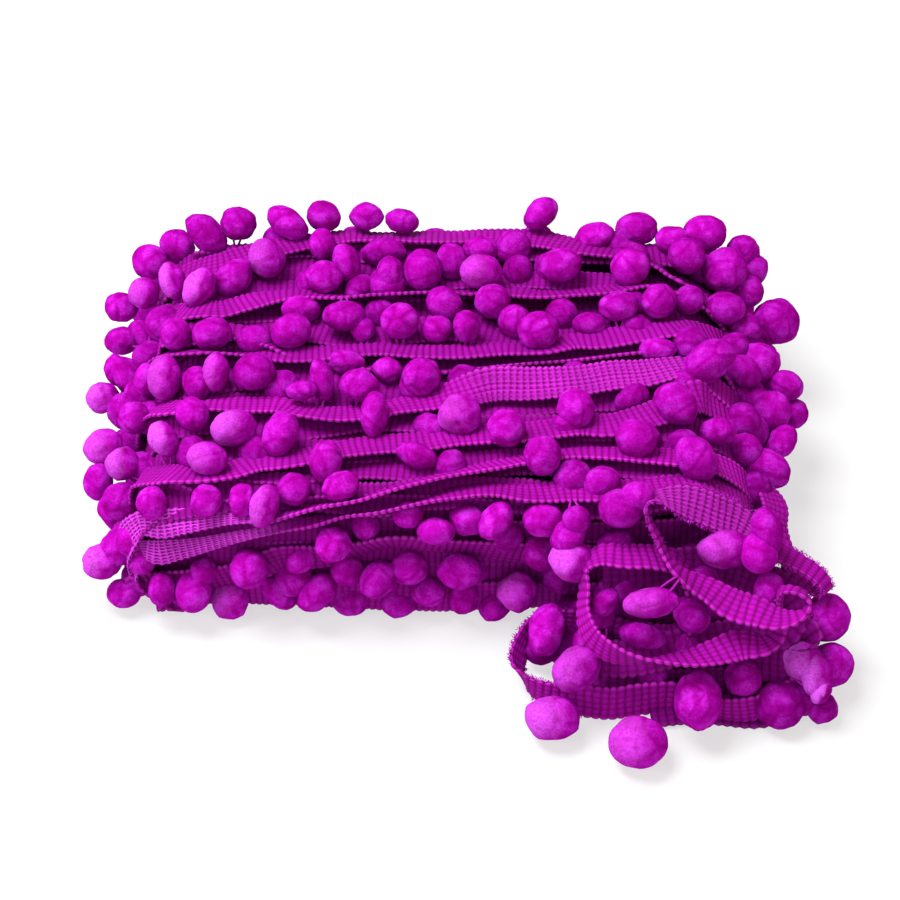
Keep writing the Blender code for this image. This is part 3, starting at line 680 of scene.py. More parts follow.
# the imported middle, coloured dark as painted shade
core = {"inset": 3.2, "endSteps": 10, "rimBevel": 4.0}
deselectAll()
bpy.ops.mesh.primitive_cube_add(size=1, location=(0, 0, 0))
middle = bpy.context.object
middle.name = "packedMiddle"
coreSides = (bundle["length"], bundle["depth"], bundle["height"])
coreSize = [(side - 2 * core["inset"]) * mm for side in coreSides]
bpy.ops.object.mode_set(mode="EDIT")
bpy.ops.mesh.select_all(action="SELECT")
bpy.ops.transform.resize(value=coreSize)
bpy.ops.mesh.select_all(action="DESELECT")
bpy.ops.object.mode_set(mode="OBJECT")
for edge in middle.data.edges:
    ends = [middle.data.vertices[k].co for k in edge.vertices]
    edge.select = abs(ends[0].y - ends[1].y) > 0.5 * coreSize[1]
bpy.ops.object.mode_set(mode="EDIT")
bpy.ops.mesh.select_mode(type="EDGE")
bpy.ops.mesh.bevel(offset=coreSize[2] * 0.49, segments=core["endSteps"], affect="EDGES")
bpy.ops.object.mode_set(mode="OBJECT")
for edge in middle.data.edges:
    ends = [middle.data.vertices[k].co for k in edge.vertices]
    edge.select = abs(ends[0].y - ends[1].y) < 1e-5 and abs(abs(ends[0].y) - coreSize[1] / 2) < 1e-5
bpy.ops.object.mode_set(mode="EDIT")
bpy.ops.mesh.bevel(offset=core["rimBevel"] * mm, segments=4, affect="EDGES")
bpy.ops.mesh.select_all(action="SELECT")
bpy.ops.transform.translate(value=tuple(placed((bundle["x"], bundle["y"], bundle["z"]))))
bpy.ops.object.mode_set(mode="OBJECT")
shadeSmooth(middle)
rideAndReplace(middle, "wound_trim", packed)
print("packed middle made")

# the loose tail
# its middle, which way lies across it, and the share of its width that is open
tailRows = (
    (76, -4, 26, 8, 3, -7, 0.8), (79.5, -11, 28.5, 8, 5, -7, 0.8), (81, -18, 29.8, 10, 8, -6, 0.85),
    (81, -25, 30, 10, 10, -7, 0.85), (82, -32, 28, 10, 6, -5, 0.8), (85, -38, 26, 9, 6, -2, 0.6),
    (89, -43, 24.5, 8, 8, 0, 0.45), (92, -46, 27, 8, 8, 0, 0.4), (90, -44.5, 30.5, 7, 9, 0, 0.5),
    (84, -41, 33, 5, 10, 0, 0.6), (78, -38, 35, 4, 10, 0, 0.75), (70, -34, 39.5, 4, 10, 1, 1),
    (62, -34, 44, 3, 10, 4, 1), (55, -34, 47, 3, 10, 2, 0.9), (49, -35, 49, 2, 10, -3, 0.6),
    (46, -37, 48.5, 3, 10, -7, 0.5), (47, -40, 45.5, 4, 10, -8, 0.45), (49, -43, 42.5, 5, 10, -8, 0.45),
    (51, -46, 39.5, 4, 10, -7, 0.5), (54, -49, 37.5, 4, 10, -6, 0.8), (58, -51, 35.5, 3, 10, -3, 1),
    (62, -53, 34.5, 3, 10, -1, 1), (67, -56, 33.5, 3, 10, 1, 1), (73, -58, 33, 3, 10, 1, 0.95),
    (78, -60, 32.5, 2, 10, -1, 0.8), (83, -60, 33.5, 1, 10, -2, 0.5), (85.5, -58, 36, 1, 10, -3, 0.3),
    (83, -56, 38, 1, 10, -3, 0.3), (79.5, -54, 36.5, 1, 10, -3, 0.3), (78.5, -53.5, 32, 1, 10, -3, 0.3),
    (80, -55, 28, 1, 10, -2, 0.35), (79.5, -58, 25, 1, 10, -2, 0.5), (75, -61, 24, 1, 10, 0, 0.75),
    (69, -61, 24, 0, 10, 2, 0.95), (63, -63, 23.5, 0, 10, 0, 0.9), (57, -65, 23.5, 0, 10, -4, 0.9),
    (50, -66, 24, 0, 10, -8, 0.9), (44, -66, 24, -1, 6, -10, 0.85), (38, -64, 24, -4, 3, -10, 0.8),
    (33, -60, 24.5, -7, 2, -10, 0.75), (31, -56, 26, -7, 5, -10, 0.7), (30.5, -52, 28, -6, 8, -10, 0.65),
    (31, -48, 31, -5, 10, -8, 0.65), (31, -44.5, 34.5, -2, 10, -4, 0.7), (35, -43, 37, 0, 10, -1, 0.85),
    (41, -43.5, 37, 0, 10, -1, 1), (47, -43, 36.5, 0, 10, -1, 1), (54, -42, 33, 1, 10, -1, 1),
    (58, -45, 27, 2, 10, 0, 1), (58, -49, 19.5, 2, 10, 1, 1), (54, -51, 14, 1, 9, 3, 1),
    (47, -49, 11.5, 0, 8, 6, 1), (40, -46, 10.5, 0, 6, 8, 1), (32, -43, 10.5, 0, 4, 9, 0.9),
    (25, -41.5, 10.5, 0, 3, 10, 0.7), (20, -42, 10, -1, 2, 10, 0.65), (17, -44.5, 8.5, -3, 1, 9, 0.7),
    (15, -49, 6.5, -5, 0, 8, 0.75), (15, -54, 5.5, -5, 0, 8, 0.8), (18, -58.5, 5, -3, 1, 9, 0.8),
    (23, -61.5, 4.8, 0, 2, 10, 0.85), (31, -63, 4.8, 0, 3, 10, 1), (38, -64, 4.8, 0, 3, 10, 1),
    (45, -63, 4.8, 0, 3, 10, 1), (53, -62, 4.8, 0, 2, 10, 1), (60, -64, 4.8, 0, 1, 10, 1),
    (66, -66, 4.8, 0, 0, 10, 0.9), (72, -66.5, 5.5, 0, 1, 10, 0.9), (78, -65, 6.5, 0, 2, 10, 0.85),
    (84, -62, 8, 0, 3, 10, 0.85), (88, -58, 10, 0, 4, 10, 0.8),
)
tailTape, tailLength = ribbedTape(
    "looseTailTape", tailRows, False, 90, 1.0, tailOpenness, lambda z: True, leaning,
)
rideAndReplace(tailTape, "loose_tail", tape)
tailEdges = tapeEdges[-2:]
print("tail laid, mm:", round(tailLength))

# further loops of the same tail, packed beneath and behind its main run, with a lower tone as painted shade
innerLoops = (
    ((24, -46, 5, 0, 3, 10, 1), (36, -52, 5, 0, 2, 10, 1), (50, -50, 6, 0, 1, 10, 1),
     (64, -46, 7, 0, 1, 10, 1),
     (78, -46, 8, 0, 1, 10, 1), (84, -51, 8, 4, 1, 10, 1), (80, -57, 7, 2, 2, 10, 1),
     (66, -58, 6, 0, 3, 10, 1),
     (50, -58, 5, 0, 3, 10, 1), (36, -57, 5, 0, 3, 10, 1)),
    ((34, -39, 9, 0, 4, 9, 1), (48, -42, 12, 0, 5, 9, 1), (62, -46, 15, 0, 6, 8, 1),
     (74, -49, 17, 0, 6, 8, 1),
     (83, -50, 18, 2, 6, 8, 1), (88, -54, 17, 5, 5, 8, 1), (84, -59, 14, 2, 5, 8, 1),
     (72, -56, 12, 0, 6, 7, 1)),
    ((36, -38, 26, 0, 5, 8, 1), (50, -38, 27, 0, 6, 8, 1), (64, -38, 28, 0, 7, 7, 1),
     (76, -42, 27, 0, 8, 6, 1),
     (84, -48, 23, 3, 8, 5, 1), (80, -53, 19, 1, 9, 5, 1), (68, -53, 17, 0, 9, 5, 1),
     (56, -55, 16, 0, 8, 6, 1),
     (44, -57, 14, 0, 8, 6, 1), (34, -55, 12, 0, 8, 6, 1)),
    ((30, -44, 1.2, 0, 10, 1, 1), (45, -45, 1.4, 0, 10, 1, 1), (62, -46, 1.2, 0, 10, 1, 1),
     (80, -48, 1.6, 0, 10, 1, 1)),
    ((32, -54, 1.4, 0, 10, 1, 1), (48, -54, 1.2, 0, 10, 1, 1), (66, -55, 1.6, 0, 10, 1, 1),
     (84, -56, 1.2, 0, 10, 1, 1)),
    ((48, -64, 1.2, 0, 10, 1, 1), (60, -63, 1.6, 0, 10, 1, 1), (74, -64, 1.2, 0, 10, 1, 1),
     (83, -62, 1.4, 0, 10, 1, 1)),
)
for number, rows in enumerate(innerLoops):
    piece, length = ribbedTape(
        f"innerLoop{number}", rows, False, 120 + number, 0.6, 0.6, lambda z: False, leaning,
    )
    rideAndReplace(piece, "loose_tail", tape)
print("inner loops laid:", len(innerLoops))


def frayFibres(name, edges, share, count, seed, longest, paintedHighlight):
    # short loose fibres that stand off the edges of a tape, their tips lightened as a painted highlight
    pick = np.random.RandomState(seed)
    roots = []
    aims = []
    for first, second in (edges, edges[::-1]):
        start, end = (int(len(first) * part) for part in share)
        chosen = pick.randint(start, max(start + 1, end), count // 2)
        outward = unit(first[chosen] - second[chosen])
        roots.append(first[chosen] + pick.uniform(-0.4, 0.4, (len(chosen), 3)))
        aims.append(unit(outward + pick.uniform(-0.9, 0.9, (len(chosen), 3))))
    roots, aims = np.vstack(roots), np.vstack(aims)
    reach = pick.uniform(fray["shortest"], longest, len(roots))[:, None]
    aside = unit(np.cross(aims, pick.uniform(-1, 1, aims.shape)))
    other = np.cross(aims, aside)
    thick = fray["thickness"]
    rings = [
        roots + thick * (aside * math.cos(turn) + other * math.sin(turn)) for turn in (0.0, 2.1, 4.2)
    ]
    tips = roots + aims * reach
    points = np.stack(rings + [tips], axis=1).reshape(-1, 3)
    points[:, 2] = np.maximum(points[:, 2], 0.05)
    base = np.arange(len(roots)) * 4
    faces = []
    for k in base:
        faces += [(k, k + 1, k + 3), (k + 1, k + 2, k + 3), (k + 2, k, k + 3), (k + 2, k + 1, k)]
    piece = meshFromArrays(name, points, [], faces)
    setPointValue(piece.data, "toneAndShade", np.full(len(points), 1.1))
    setPointValue(piece.data, "paintedHighlight", np.tile([0.0, 0.0, 0.0, paintedHighlight], len(roots)))
    rideAndReplace(piece, "loose_tail", felt)


fray = {"shortest": 0.4, "thickness": 0.17}
tuftLeft = np.linspace((83, -50, 17), (90, -61, 10), 40)
tuftRight = np.linspace((86, -51, 17), (93, -59, 9), 40)
frayFibres("frayedBack", tailEdges, (0.10, 0.27), 900, 3, 1.3, 0.4)
frayFibres("frayedLoop", tailEdges, (0.76, 0.86), 500, 4, 1.2, 0.5)
frayFibres("frayedTuft", [tuftLeft, tuftRight], (0.0, 1.0), 900, 5, 3.6, 1.6)
print("frayed edges made")

# pompoms: x, y, z, seen width, seen height and tilt, in millimetres and degrees, and where they
# are given, how strong the painted highlight on the felt is and its tone, lower for buried ones as painted
# shade
pompoms = {
    "diameter": 10.2, "endWidth": 9.4, "endHeight": 9.2, "sunk": 0.8, "hiddenStandOff": 2.8,
    "rowMargin": 8.5, "rowWaver": 3.0, "groupSize": 80,
    "gap": {
        "most": 32, "tries": 9000, "seed": 23, "topShare": 0.72, "depth": 1.2, "clear": 7.2,
        "tapeClear": 4.6, "toneAndShade": 0.8, "fanX": -38, "fanY": -24, "fanZ": 20,
    },
}
rimPompoms = (  # round the far edge and the two ends
    (-87, 70, 36, 10.1, 10.1, 0), (-88, 59, 34, 8.9, 8.9, 0, 0.6), (-95, 61, 27, 9.6, 8.5, 0),
    (-94, 48, 26, 9.5, 8.1, 0), (-94, 35, 27, 7.1, 9.3, 0), (-84, 22, 36, 6.4, 9.1, 0),
    (-97, 26, 25, 9.3, 8.7, 0, 0.9), (-95, 8, 24, 11.2, 10.2, 0, 0.7), (-88, -5, 31, 9.9, 9.1, 0, 0.9),
    (-96, -1, 20, 8, 10.1, 0), (-91, -9, 17, 9.5, 9.5, 0), (-93, -25, 15, 10.4, 9.6, 10, 0.9),
    (-88, -28, 6, 8.9, 7.9, 0), (-71, 74, 43, 14, 9.3, -42), (-62, 76, 45, 10.4, 9.6, 0),
    (-48, 75, 46, 12.1, 9.5, -8), (-38, 78, 46, 9.8, 8.7, -20), (-26, 78, 46, 10.1, 8.2, 0),
    (-16, 76, 46, 9.8, 7, -18), (23, 78, 47, 9.8, 9.3, 0), (38, 73, 43, 11.2, 7.9, 0),
    (50, 76, 43, 12.1, 9.6, 0), (60, 72, 42, 10.1, 8.4, 0), (69, 74, 43, 12.4, 10.4, 0),
    (80, 72, 38, 9.6, 9.6, -40), (83, 69, 34, 8.5, 9, 0), (81, 61, 33, 9, 9.5, 0),
    (89, 55, 27, 13.2, 13.2, 0), (82, 34, 31, 11.5, 10.4, -20), (89, 29, 27, 10.1, 8.2, -20),
    (84, 19, 27, 11.3, 10.8, 0), (92, 25, 20, 7.1, 8.2, 0), (86, 10, 24, 9.1, 9.6, 0),
    (81, -2, 26, 12.7, 11.1, 0),
)
topPompoms = (  # on the top
    (-79, 55, 42, 7.4, 11, 5, 0.9), (-71, 49, 45, 9.3, 10.9, 0, 0.9), (-62, 55, 43, 10.5, 10.7, 0),
    (-53, 60, 46, 10.5, 11.3, 0, 0.5), (-38, 66, 46, 7.5, 8.9, 0), (-37, 52, 46, 11, 9.3, 0),
    (-31, 58, 46, 7.7, 11, 10), (-76, 31, 44, 8.6, 9.1, 0), (-66, 29, 46, 10.9, 8.8, 0),
    (-55, 30, 43, 9.7, 7.5, 0), (-43, 42, 43, 10.9, 7.6, 0), (-45, 30, 46, 11.2, 9.4, 15),
    (-91, 33, 27, 8.2, 10.4, 0), (-78, 16, 42, 9.3, 12.4, 0, 0.5), (-69, 13, 43, 7.9, 8.9, 0),
    (-64, 14, 46, 7.1, 10.5, 0, 0.5), (-54, 14, 46, 11.3, 10, 20), (-41, 7, 46, 5.2, 8.3, 95),
    (-36, 11, 46, 6.3, 11.3, 5), (-30, 21, 43, 10.1, 6.9, 0), (-26, 9, 46, 10.5, 8.9, -15),
    (-19, 18, 43, 8.5, 6.9, -10), (-10, 12, 46, 10.5, 10, 0), (-22, -2, 46, 7.7, 11.9, -20),
    (-86, 8, 35, 8.4, 8.7, 0), (-76, -9, 44, 8.2, 9.5, 0, 1.1), (-69, -2, 46, 8.8, 9.3, 0),
    (-58, -7, 46, 12.1, 9.5, 10, 0.9), (-46, -9, 46, 9.7, 11.8, 0), (-64, -18, 46, 10.6, 8.6, -10, 0.6),
    (-78, -26, 38, 7.9, 8.9, 0), (-64, -27, 40, 8.1, 9.1, 0), (-55, -27, 40, 6.6, 8.6, 0),
    (-49, -30, 41, 8.5, 10.8, 10, 0.6), (-42, -25, 42, 9.1, 8.6, 0), (-34, -19, 46, 8.6, 11.1, 0),
    (-30, -26, 44, 9.8, 7.8, 15), (-31, 36, 46, 11.3, 8.9, 25), (-26, 34, 43, 7, 7.5, 0),
    (-16, 34, 46, 10.5, 9.9, 0), (-21, 66, 43, 12.8, 7.8, 10), (-19, 53, 46, 7.7, 10.4, 0),
    (-10, 55, 46, 10.7, 11.5, -20), (-2, 62, 43, 8.9, 10.5, 0), (6, 67, 43, 10.3, 7.8, 0),
    (6, 54, 46, 11.8, 9.9, 0, 0.4), (-4, 41, 46, 10, 9.7, 0), (-6, 34, 43, 8.6, 7.5, 0),
    (2, 32, 46, 7.5, 8.6, 0), (9, 42, 46, 10, 9.5, 0), (15, 37, 43, 9.2, 9.7, 40),
    (21, 30, 46, 11.2, 10.7, 0), (28, 57, 46, 12.1, 9.6, 10), (35, 36, 43, 9.2, 6.5, 0),
    (47, 56, 46, 11, 10.5, 0), (43, 40, 46, 10.8, 8.7, -15), (54, 42, 46, 10, 9.5, 0),
    (63, 47, 42, 8.2, 8.2, 0), (53, 26, 43, 10.1, 6.4, 0), (66, 20, 44, 14.8, 12.5, 0),
    (73, 47, 39, 11.2, 9, -10), (74, 63, 39, 12.8, 12.8, 0), (63, 62, 45, 10.5, 10, -20),
    (30, 0, 46, 9.8, 10.9, 0), (27, -3, 43, 6.7, 5.7, 0), (0, -2, 46, 11.4, 10.8, 0, 0.4),
    (12, -7, 46, 10, 9.8, 0), (21, -17, 46, 9.6, 10.4, 10), (56, 2, 46, 12.2, 10.9, -15),
    (45, -11, 46, 10.7, 10.2, 0), (60, -17, 45, 11.2, 11.7, 0), (67, -2, 40, 9.9, 7.3, 0),
    (36, -23, 42, 9.6, 9.1, 0), (-11, -14, 43, 10.7, 7.1, 0), (-12, 12, 43, 7.9, 7.9, 0),
    (-13, -29, 37, 8.1, 7.1, 0),
)
nearPompoms = (  # on the near side
    (-77, -33, 13, 7.2, 9.3, 0), (-69, -33, 12, 9.6, 10.9, 0), (-54, -33, 21, 10, 10.5, 0),
    (-60, -30, 6, 9.9, 11, 0, 0.5), (-47, -30, 9, 9.4, 9.9, 0), (-37, -33, 12, 10.1, 10.4, 0),
    (-32, -33, 30, 9.4, 9.4, 0), (-29, -30, 17, 8.8, 8.3, 0), (-29, -28, 4, 10.5, 9.5, 0),
    (-21, -33, 17, 9.8, 10, 0), (-13, -30, 18, 10.1, 9.3, -20), (-6, -33, 35, 9.8, 7.1, 0),
    (2, -30, 36, 9.6, 8.1, 0), (9, -32, 38, 9.1, 10.1, 0), (21, -32, 38, 10.6, 8.6, 0),
    (0, -33, 20, 11.8, 9.8, 0), (-16, -29, 3, 10, 7.9, 0), (-8, -30, 9, 8.9, 8.3, 0),
    (1, -30, 7, 7.8, 9.4, 0), (9, -30, 3, 8.9, 7.9, 0), (15, -33, 12, 10.9, 11.1, 0, 0.5),
    (26, -30, 21, 7.7, 8.7, 0), (51, -30, 7, 6.8, 6.8, 0), (-66, -30, 17, 7.2, 7.7, 0),
    (-41, -30, 21, 7.7, 7.2, 0), (-82, -28, 19, 7.7, 8.3, 0), (-85, -26, 24, 7.7, 7.7, 0),
)
tailPompoms = (  # on the loose tail
    (22, -46, 12, 9.4, 14.3, -15), (29, -62, 16, 12.5, 12, 0, 0.5), (23, -70, 6.4, 13.7, 11.2, 0, 1),
    (44, -78, 6.9, 14.8, 13.1, 0, 0.5), (59, -69, 12, 11.7, 15.1, 0), (47, -56, 34, 13.8, 8.4, -12, 0.4),
    (46, -53, 18, 12.6, 6.3, -15), (28, -41, 33, 12, 11.5, 0, 0.9), (27, -37.5, 38, 9, 9, 0),
    (29, -36, 42.5, 7.2, 7.2, 0), (40, -35, 45.5, 11.4, 9.9, 0), (44, -34, 49, 8.4, 7.4, 0),
    (66, -41, 37, 13.5, 10.8, -25, 0.5), (77, -48, 29, 7.6, 10, 0), (76, -40, 43, 8, 11.5, 15),
    (93, -46, 17, 12.2, 12.4, 0), (94, -55, 9, 11.6, 11.6, 0), (86, -58, 14, 11, 10, -35, 1.1),
    (91, -65, 4.4, 8.4, 8.4, 0, 0, 0.8), (80, -66, 6.6, 12.8, 12.4, 0, 0, 0.75), (71, -61, 11, 9.6, 9.6, 0),
    (58, -51, 24, 9.6, 9.6, 0), (57, -53, 14, 8.4, 8.4, 0), (36, -49, 26, 7.8, 7.8, 0),
    (35, -47, 20, 8.4, 8.4, 0), (33, -48, 9, 9.2, 9.2, 0), (41, -53, 8, 9.2, 9.2, 0),
    (49, -56, 8, 9.2, 9.2, 0), (61, -54, 7, 8.6, 8.6, 0), (70, -50, 12, 8.6, 8.6, 0),
    (77, -54, 10, 8.6, 8.6, 0), (66, -43, 18, 8.6, 8.6, 0), (73, -40, 20, 8.8, 8.8, 0),
    (51, -41, 18, 8.6, 8.6, 0), (43, -41, 20, 8.6, 8.6, 0), (62, -40, 24, 8.6, 8.6, 0),
    (46, -43, 9, 8.6, 8.6, 0), (85, -47, 8, 8.8, 8.8, 0), (84, -42, 16, 8, 8, 0),
    (87, -58, 6, 8, 8, 0), (74, -44, 39, 9.6, 10.6, 0), (90, -66, 12, 5.5, 6.5, 0, 1.9),
    (89, -62, 13, 9.5, 10, -35, 1.2), (32, -36, 6, 10, 10, 0, 0, 0.6),
    (28, -45, 6, 10, 9, 0, 0, 0.55), (21, -47, 5, 8.4, 7.4, 0, 0, 0.6), (37, -44, 6, 9, 9, 0, 0, 0.6),
    (77, -12, 28, 8.5, 10, 0, 0, 0.6), (86, -35, 22, 8.5, 8.5, 0, 0, 0.65),
    (86, -63, 6, 9.5, 9.5, 0, 0, 0.65), (30, -31, 4, 9, 7.8, 0, 0, 0.6),
)
endPompoms = (  # a second layer at the two ends
    (-88, 50, 26), (-85, 37, 30), (-86, 24, 28),
    (-82, 11, 32), (-89, 11, 22), (-83, -4, 28),
    (-90, -6, 12), (-86, -20, 20), (-84, -25, 8),
    (79, 46, 32), (81, 45, 25), (77, 28, 33),
    (83, 36, 20), (80, 23, 26), (78, 11, 27),
    (75, 0, 31), (85, 50, 18), (84, 20, 16),
)
# deeper ones that close the gaps on the top, as x, y, and on the near side, as x, z, with a lower tone as
# painted shade
topFillers = (
    (-90, 20), (-81, 44), (-88, -14), (78, 26), (75, 10), (74, 36), (15, 68), (-20, 52), (48, 63), (62, 29),
)
nearFillers = ((21, 24), (40, 26), (60, 20), (74, 18), (68, 6), (40, 8), (-72, 9), (-43, 14))
farRows = ((7, 9), (23, 8), (36, 7))
endRows = ((7, 5), (18, 4))

# each kind of pompom: stretch, pinch place and size, lump size and how strong
ballKinds = {
    "round": ((1.0, 1.0, 0.97), None, 0.75, 0.05),
    "plain": ((1.03, 0.97, 1.0), None, 0.55, 0.04),
    "lumpy": ((1.02, 0.98, 0.95), None, 0.6, 0.11),
    "egg": ((1.0, 0.95, 1.16), (0.55, 0.86), 0.8, 0.08),
    "flat": ((1.08, 1.05, 0.82), None, 0.7, 0.08),
    "creased": ((1.05, 1.0, 0.96), (0.0, 0.80), 0.7, 0.08),
    "squared": ((0.98, 1.0, 0.98), None, 1.0, 0.05),
    "dimpled": ((1.02, 1.02, 0.94), (0.75, 0.72), 0.6, 0.08),
}


def shapedBall(kind, steps=4):
    # a ball of radius 1, stretched, pinched round its waist and roughened
    stretch, pinch, lumpSize, lump = ballKinds[kind]
    deselectAll()
    bpy.ops.mesh.primitive_ico_sphere_add(subdivisions=steps, radius=1.0, location=(0, 0, 0))
    ball = bpy.context.object
    ball.name = "ballKind" + kind.capitalize()
    if pinch:
        place, waist = pinch
        squeeze = waist ** (1 / 3)
        for step in (0.34, 0.22, 0.11):
            for vertex in ball.data.vertices:
                vertex.select = abs(vertex.co.x - place) < step
            bpy.ops.object.mode_set(mode="EDIT")
            bpy.ops.transform.resize(value=(1.0, squeeze, squeeze), center_override=(place, 0, 0))
            bpy.ops.object.mode_set(mode="OBJECT")
    bpy.ops.object.mode_set(mode="EDIT")
    bpy.ops.mesh.select_all(action="SELECT")
    bpy.ops.transform.resize(value=stretch)
    bpy.ops.object.mode_set(mode="OBJECT")
    if kind == "squared":
        square = ball.modifiers.new("squared", "CAST")
        square.cast_type = "CUBOID"
        square.factor = 0.22
        bpy.ops.object.modifier_apply(modifier=square.name)
    for label, size, strength in (("lumps", lumpSize, lump), ("tufts", 0.42, 0.035)):
        cloud = bpy.data.textures.new(label + kind, "CLOUDS")
        cloud.noise_scale = size
        cloud.noise_depth = 1
        push = ball.modifiers.new(label, "DISPLACE")
        push.texture = cloud
        push.texture_coords = "LOCAL"
        push.strength = strength * 2
        push.mid_level = 0.5
        bpy.ops.object.modifier_apply(modifier=push.name)
    return ball


fineBalls = {kind: shapedBall(kind) for kind in ballKinds}
coarseBalls = {kind: shapedBall(kind, 3) for kind in ("round", "lumpy", "creased", "flat")}
commonKinds = (
    "round", "plain", "lumpy", "egg", "flat", "creased", "squared", "dimpled", "round", "plain",
)
dice = random.Random(5)

# the directions in which the tables' seen widths and heights are measured
seenRight = np.array((1.0, 0.0, 0.0))
seenUp = np.array((0.0, 1.0, 1.0)) / math.sqrt(2)
seenNear = np.cross(seenRight, seenUp)


def ballCopy(source, row, turn, toneAndShade, paintedHighlight=0.0, highlightFacing=(-0.85, -0.25, 0.45)):
    # a copy turned at random, then fitted to its seen width, height and tilt
    mesh = source.data.copy()
    count = len(mesh.vertices)
    points = np.zeros(count * 3, dtype=np.float32)
    mesh.vertices.foreach_get("co", points)
    points = points.reshape(-1, 3) @ np.array(turn.to_matrix()).T
    low, high = points.min(axis=0), points.max(axis=0)
    width, height, tilt = row[3], row[4], math.radians(row[5])
    points = (points - (low + high) / 2) / (high - low) * np.array((width, height, (width + height) / 2))
    right = seenRight * math.cos(tilt) + seenUp * math.sin(tilt)
    up = seenUp * math.cos(tilt) - seenRight * math.sin(tilt)
    points = points @ np.stack([right, up, seenNear]) + np.array(row[:3])
    points[:, 2] = np.maximum(points[:, 2], 0.05)
    mesh.vertices.foreach_set("co", placed(points).astype(np.float32).ravel())
    mesh.update()
    piece = bpy.data.objects.new("ball", mesh)
    bpy.context.scene.collection.objects.link(piece)
    setPointValue(mesh, "toneAndShade", np.full(count, toneAndShade))
    # the painted highlight is strongest where the felt faces the light from the left
    normals = np.zeros(count * 3, dtype=np.float32)
    mesh.vertices.foreach_get("normal", normals)
    facing = normals.reshape(-1, 3) @ np.array(Vector(highlightFacing).normalized())
    setPointValue(mesh, "paintedHighlight", paintedHighlight * np.clip(facing * 1.6 - 0.2, 0, 1))
    return piece


def joinPieces(name, pieces):
    deselectAll()
    for piece in pieces:
        piece.select_set(True)
    bpy.context.view_layer.objects.active = pieces[0]
    bpy.ops.object.join()
    joined = bpy.context.object
    joined.name = name
    joined.data.name = name
    shadeSmooth(joined)
    return joined


def randomTurn():
    return Vector((dice.uniform(-1, 1), dice.uniform(-1, 1), dice.uniform(-1, 1))).to_track_quat(
        "Z", "Y").to_euler()


seats = []  # a row of its table, its tone with any painted shade, and whether it is on a hidden side


def fillGaps():
    # smaller ones, set deep wherever no other pompom or main turn is near, with a lower tone as painted
    # shade
    taken = [np.array(row[:3], dtype=float) for row, _, _ in seats]
    gap = pompoms["gap"]
    spots = random.Random(gap["seed"])
    added = 0
    for _ in range(gap["tries"]):
        if added == gap["most"]:
            break
        x = bundle["x"] + spots.uniform(-1, 1) * bundle["length"] / 2
        if spots.random() < gap["topShare"]:
            y = bundle["y"] + spots.uniform(-1, 1) * (bundle["depth"] / 2 - 1)
            place = np.array((x, y, heightOver(x, y, -gap["depth"], 14.0)))
        else:
            x = clamp(x, bundle["x"] - 76, bundle["x"] + 30)
            place = np.array((x, bundle["y"] - bundle["depth"] / 2 + gap["depth"], spots.uniform(5, 38)))
        if min(np.linalg.norm(other - place) for other in taken) < gap["clear"]:
            continue
        if np.linalg.norm(mainMiddles - place, axis=1).min() < gap["tapeClear"]:
            continue
        if all((place[0] < gap["fanX"], place[1] < gap["fanY"], place[2] > gap["fanZ"])):
            continue
        taken.append(place)
        width, height = spots.uniform(8.0, 10.2), spots.uniform(8.0, 10.0)
        seats.append(((*place, width, height, spots.uniform(-30, 30)), gap["toneAndShade"], False))
        added += 1
    return added


def addSeats():
    size = pompoms["diameter"]
    for row in rimPompoms + topPompoms + nearPompoms:
        seats.append((row, 1.0, False))
    # the second layer at the ends and the deeper fillers get a lower tone, a painted shade, and the rows on
    # the hidden sides a slightly lower one
    for row in endPompoms:
        seats.append(((*row, pompoms["endWidth"], pompoms["endHeight"], 0), 0.85, False))
    for x, y in topFillers:
        seats.append(((x, y, heightOver(x, y, pompoms["sunk"]), size, size, 0), 0.8, False))
    near = bundle["y"] - bundle["depth"] / 2
    for x, z in nearFillers:
        seats.append(((x, near - pompoms["sunk"], z, size, size, 0), 0.8, False))
    far = bundle["y"] + bundle["depth"] / 2 + pompoms["hiddenStandOff"]
    for height, count in farRows:
        for k in range(count):
            shift = pompoms["rowWaver"] * math.sin(2.4 * k + height)
            along = lerp(-1, 1, k / (count - 1)) * (bundle["length"] / 2 - pompoms["rowMargin"])
            row = (bundle["x"] + along + shift, far, height + shift / 3, size, size, 0)
            seats.append((row, 0.95, True))
    for side in (-1, 1):
        for height, count in endRows:
            bulge = math.sqrt(bundle["z"] ** 2 - (bundle["z"] - height) ** 2) + pompoms["hiddenStandOff"]
            for k in range(count):
                shift = pompoms["rowWaver"] * math.sin(3 * k + height)
                across = lerp(-1, 1, k / (count - 1)) * (bundle["depth"] / 2 - pompoms["rowMargin"])
                x = bundle["x"] + side * (bundle["straightHalf"] + bulge)
                seats.append(((x, bundle["y"] + across + shift, height, size, size, 0), 0.95, True))


addSeats()
print("pompoms set in the gaps:", fillGaps())
group = []
made = 0
for number, (row, toneAndShade, hidden) in enumerate(seats):
    kind = dice.choice(commonKinds)
    source = coarseBalls.get(kind, coarseBalls["lumpy"]) if hidden else fineBalls[kind]
    highlightShare = row[6] if len(row) > 6 else 0.0
    group.append(ballCopy(source, row, randomTurn(), toneAndShade * dice.uniform(0.88, 1.1), highlightShare))
    if len(group) == pompoms["groupSize"] or number == len(seats) - 1:
        joined = joinPieces(f"bundlePompoms{made}", group)
        rideAndReplace(joined, "wound_trim", felt)
        group = []
        made += 1
tailBalls = []
for row in tailPompoms:
    highlightShare = row[6] if len(row) > 6 else 0.0
    # the buried ones in the heap have a lower tone as painted shade
    toneAndShade = (row[7] if len(row) > 7 else 1.0) * dice.uniform(0.88, 1.1)
    tailBalls.append(ballCopy(fineBalls[dice.choice(commonKinds)], row, randomTurn(), toneAndShade, highlightShare))
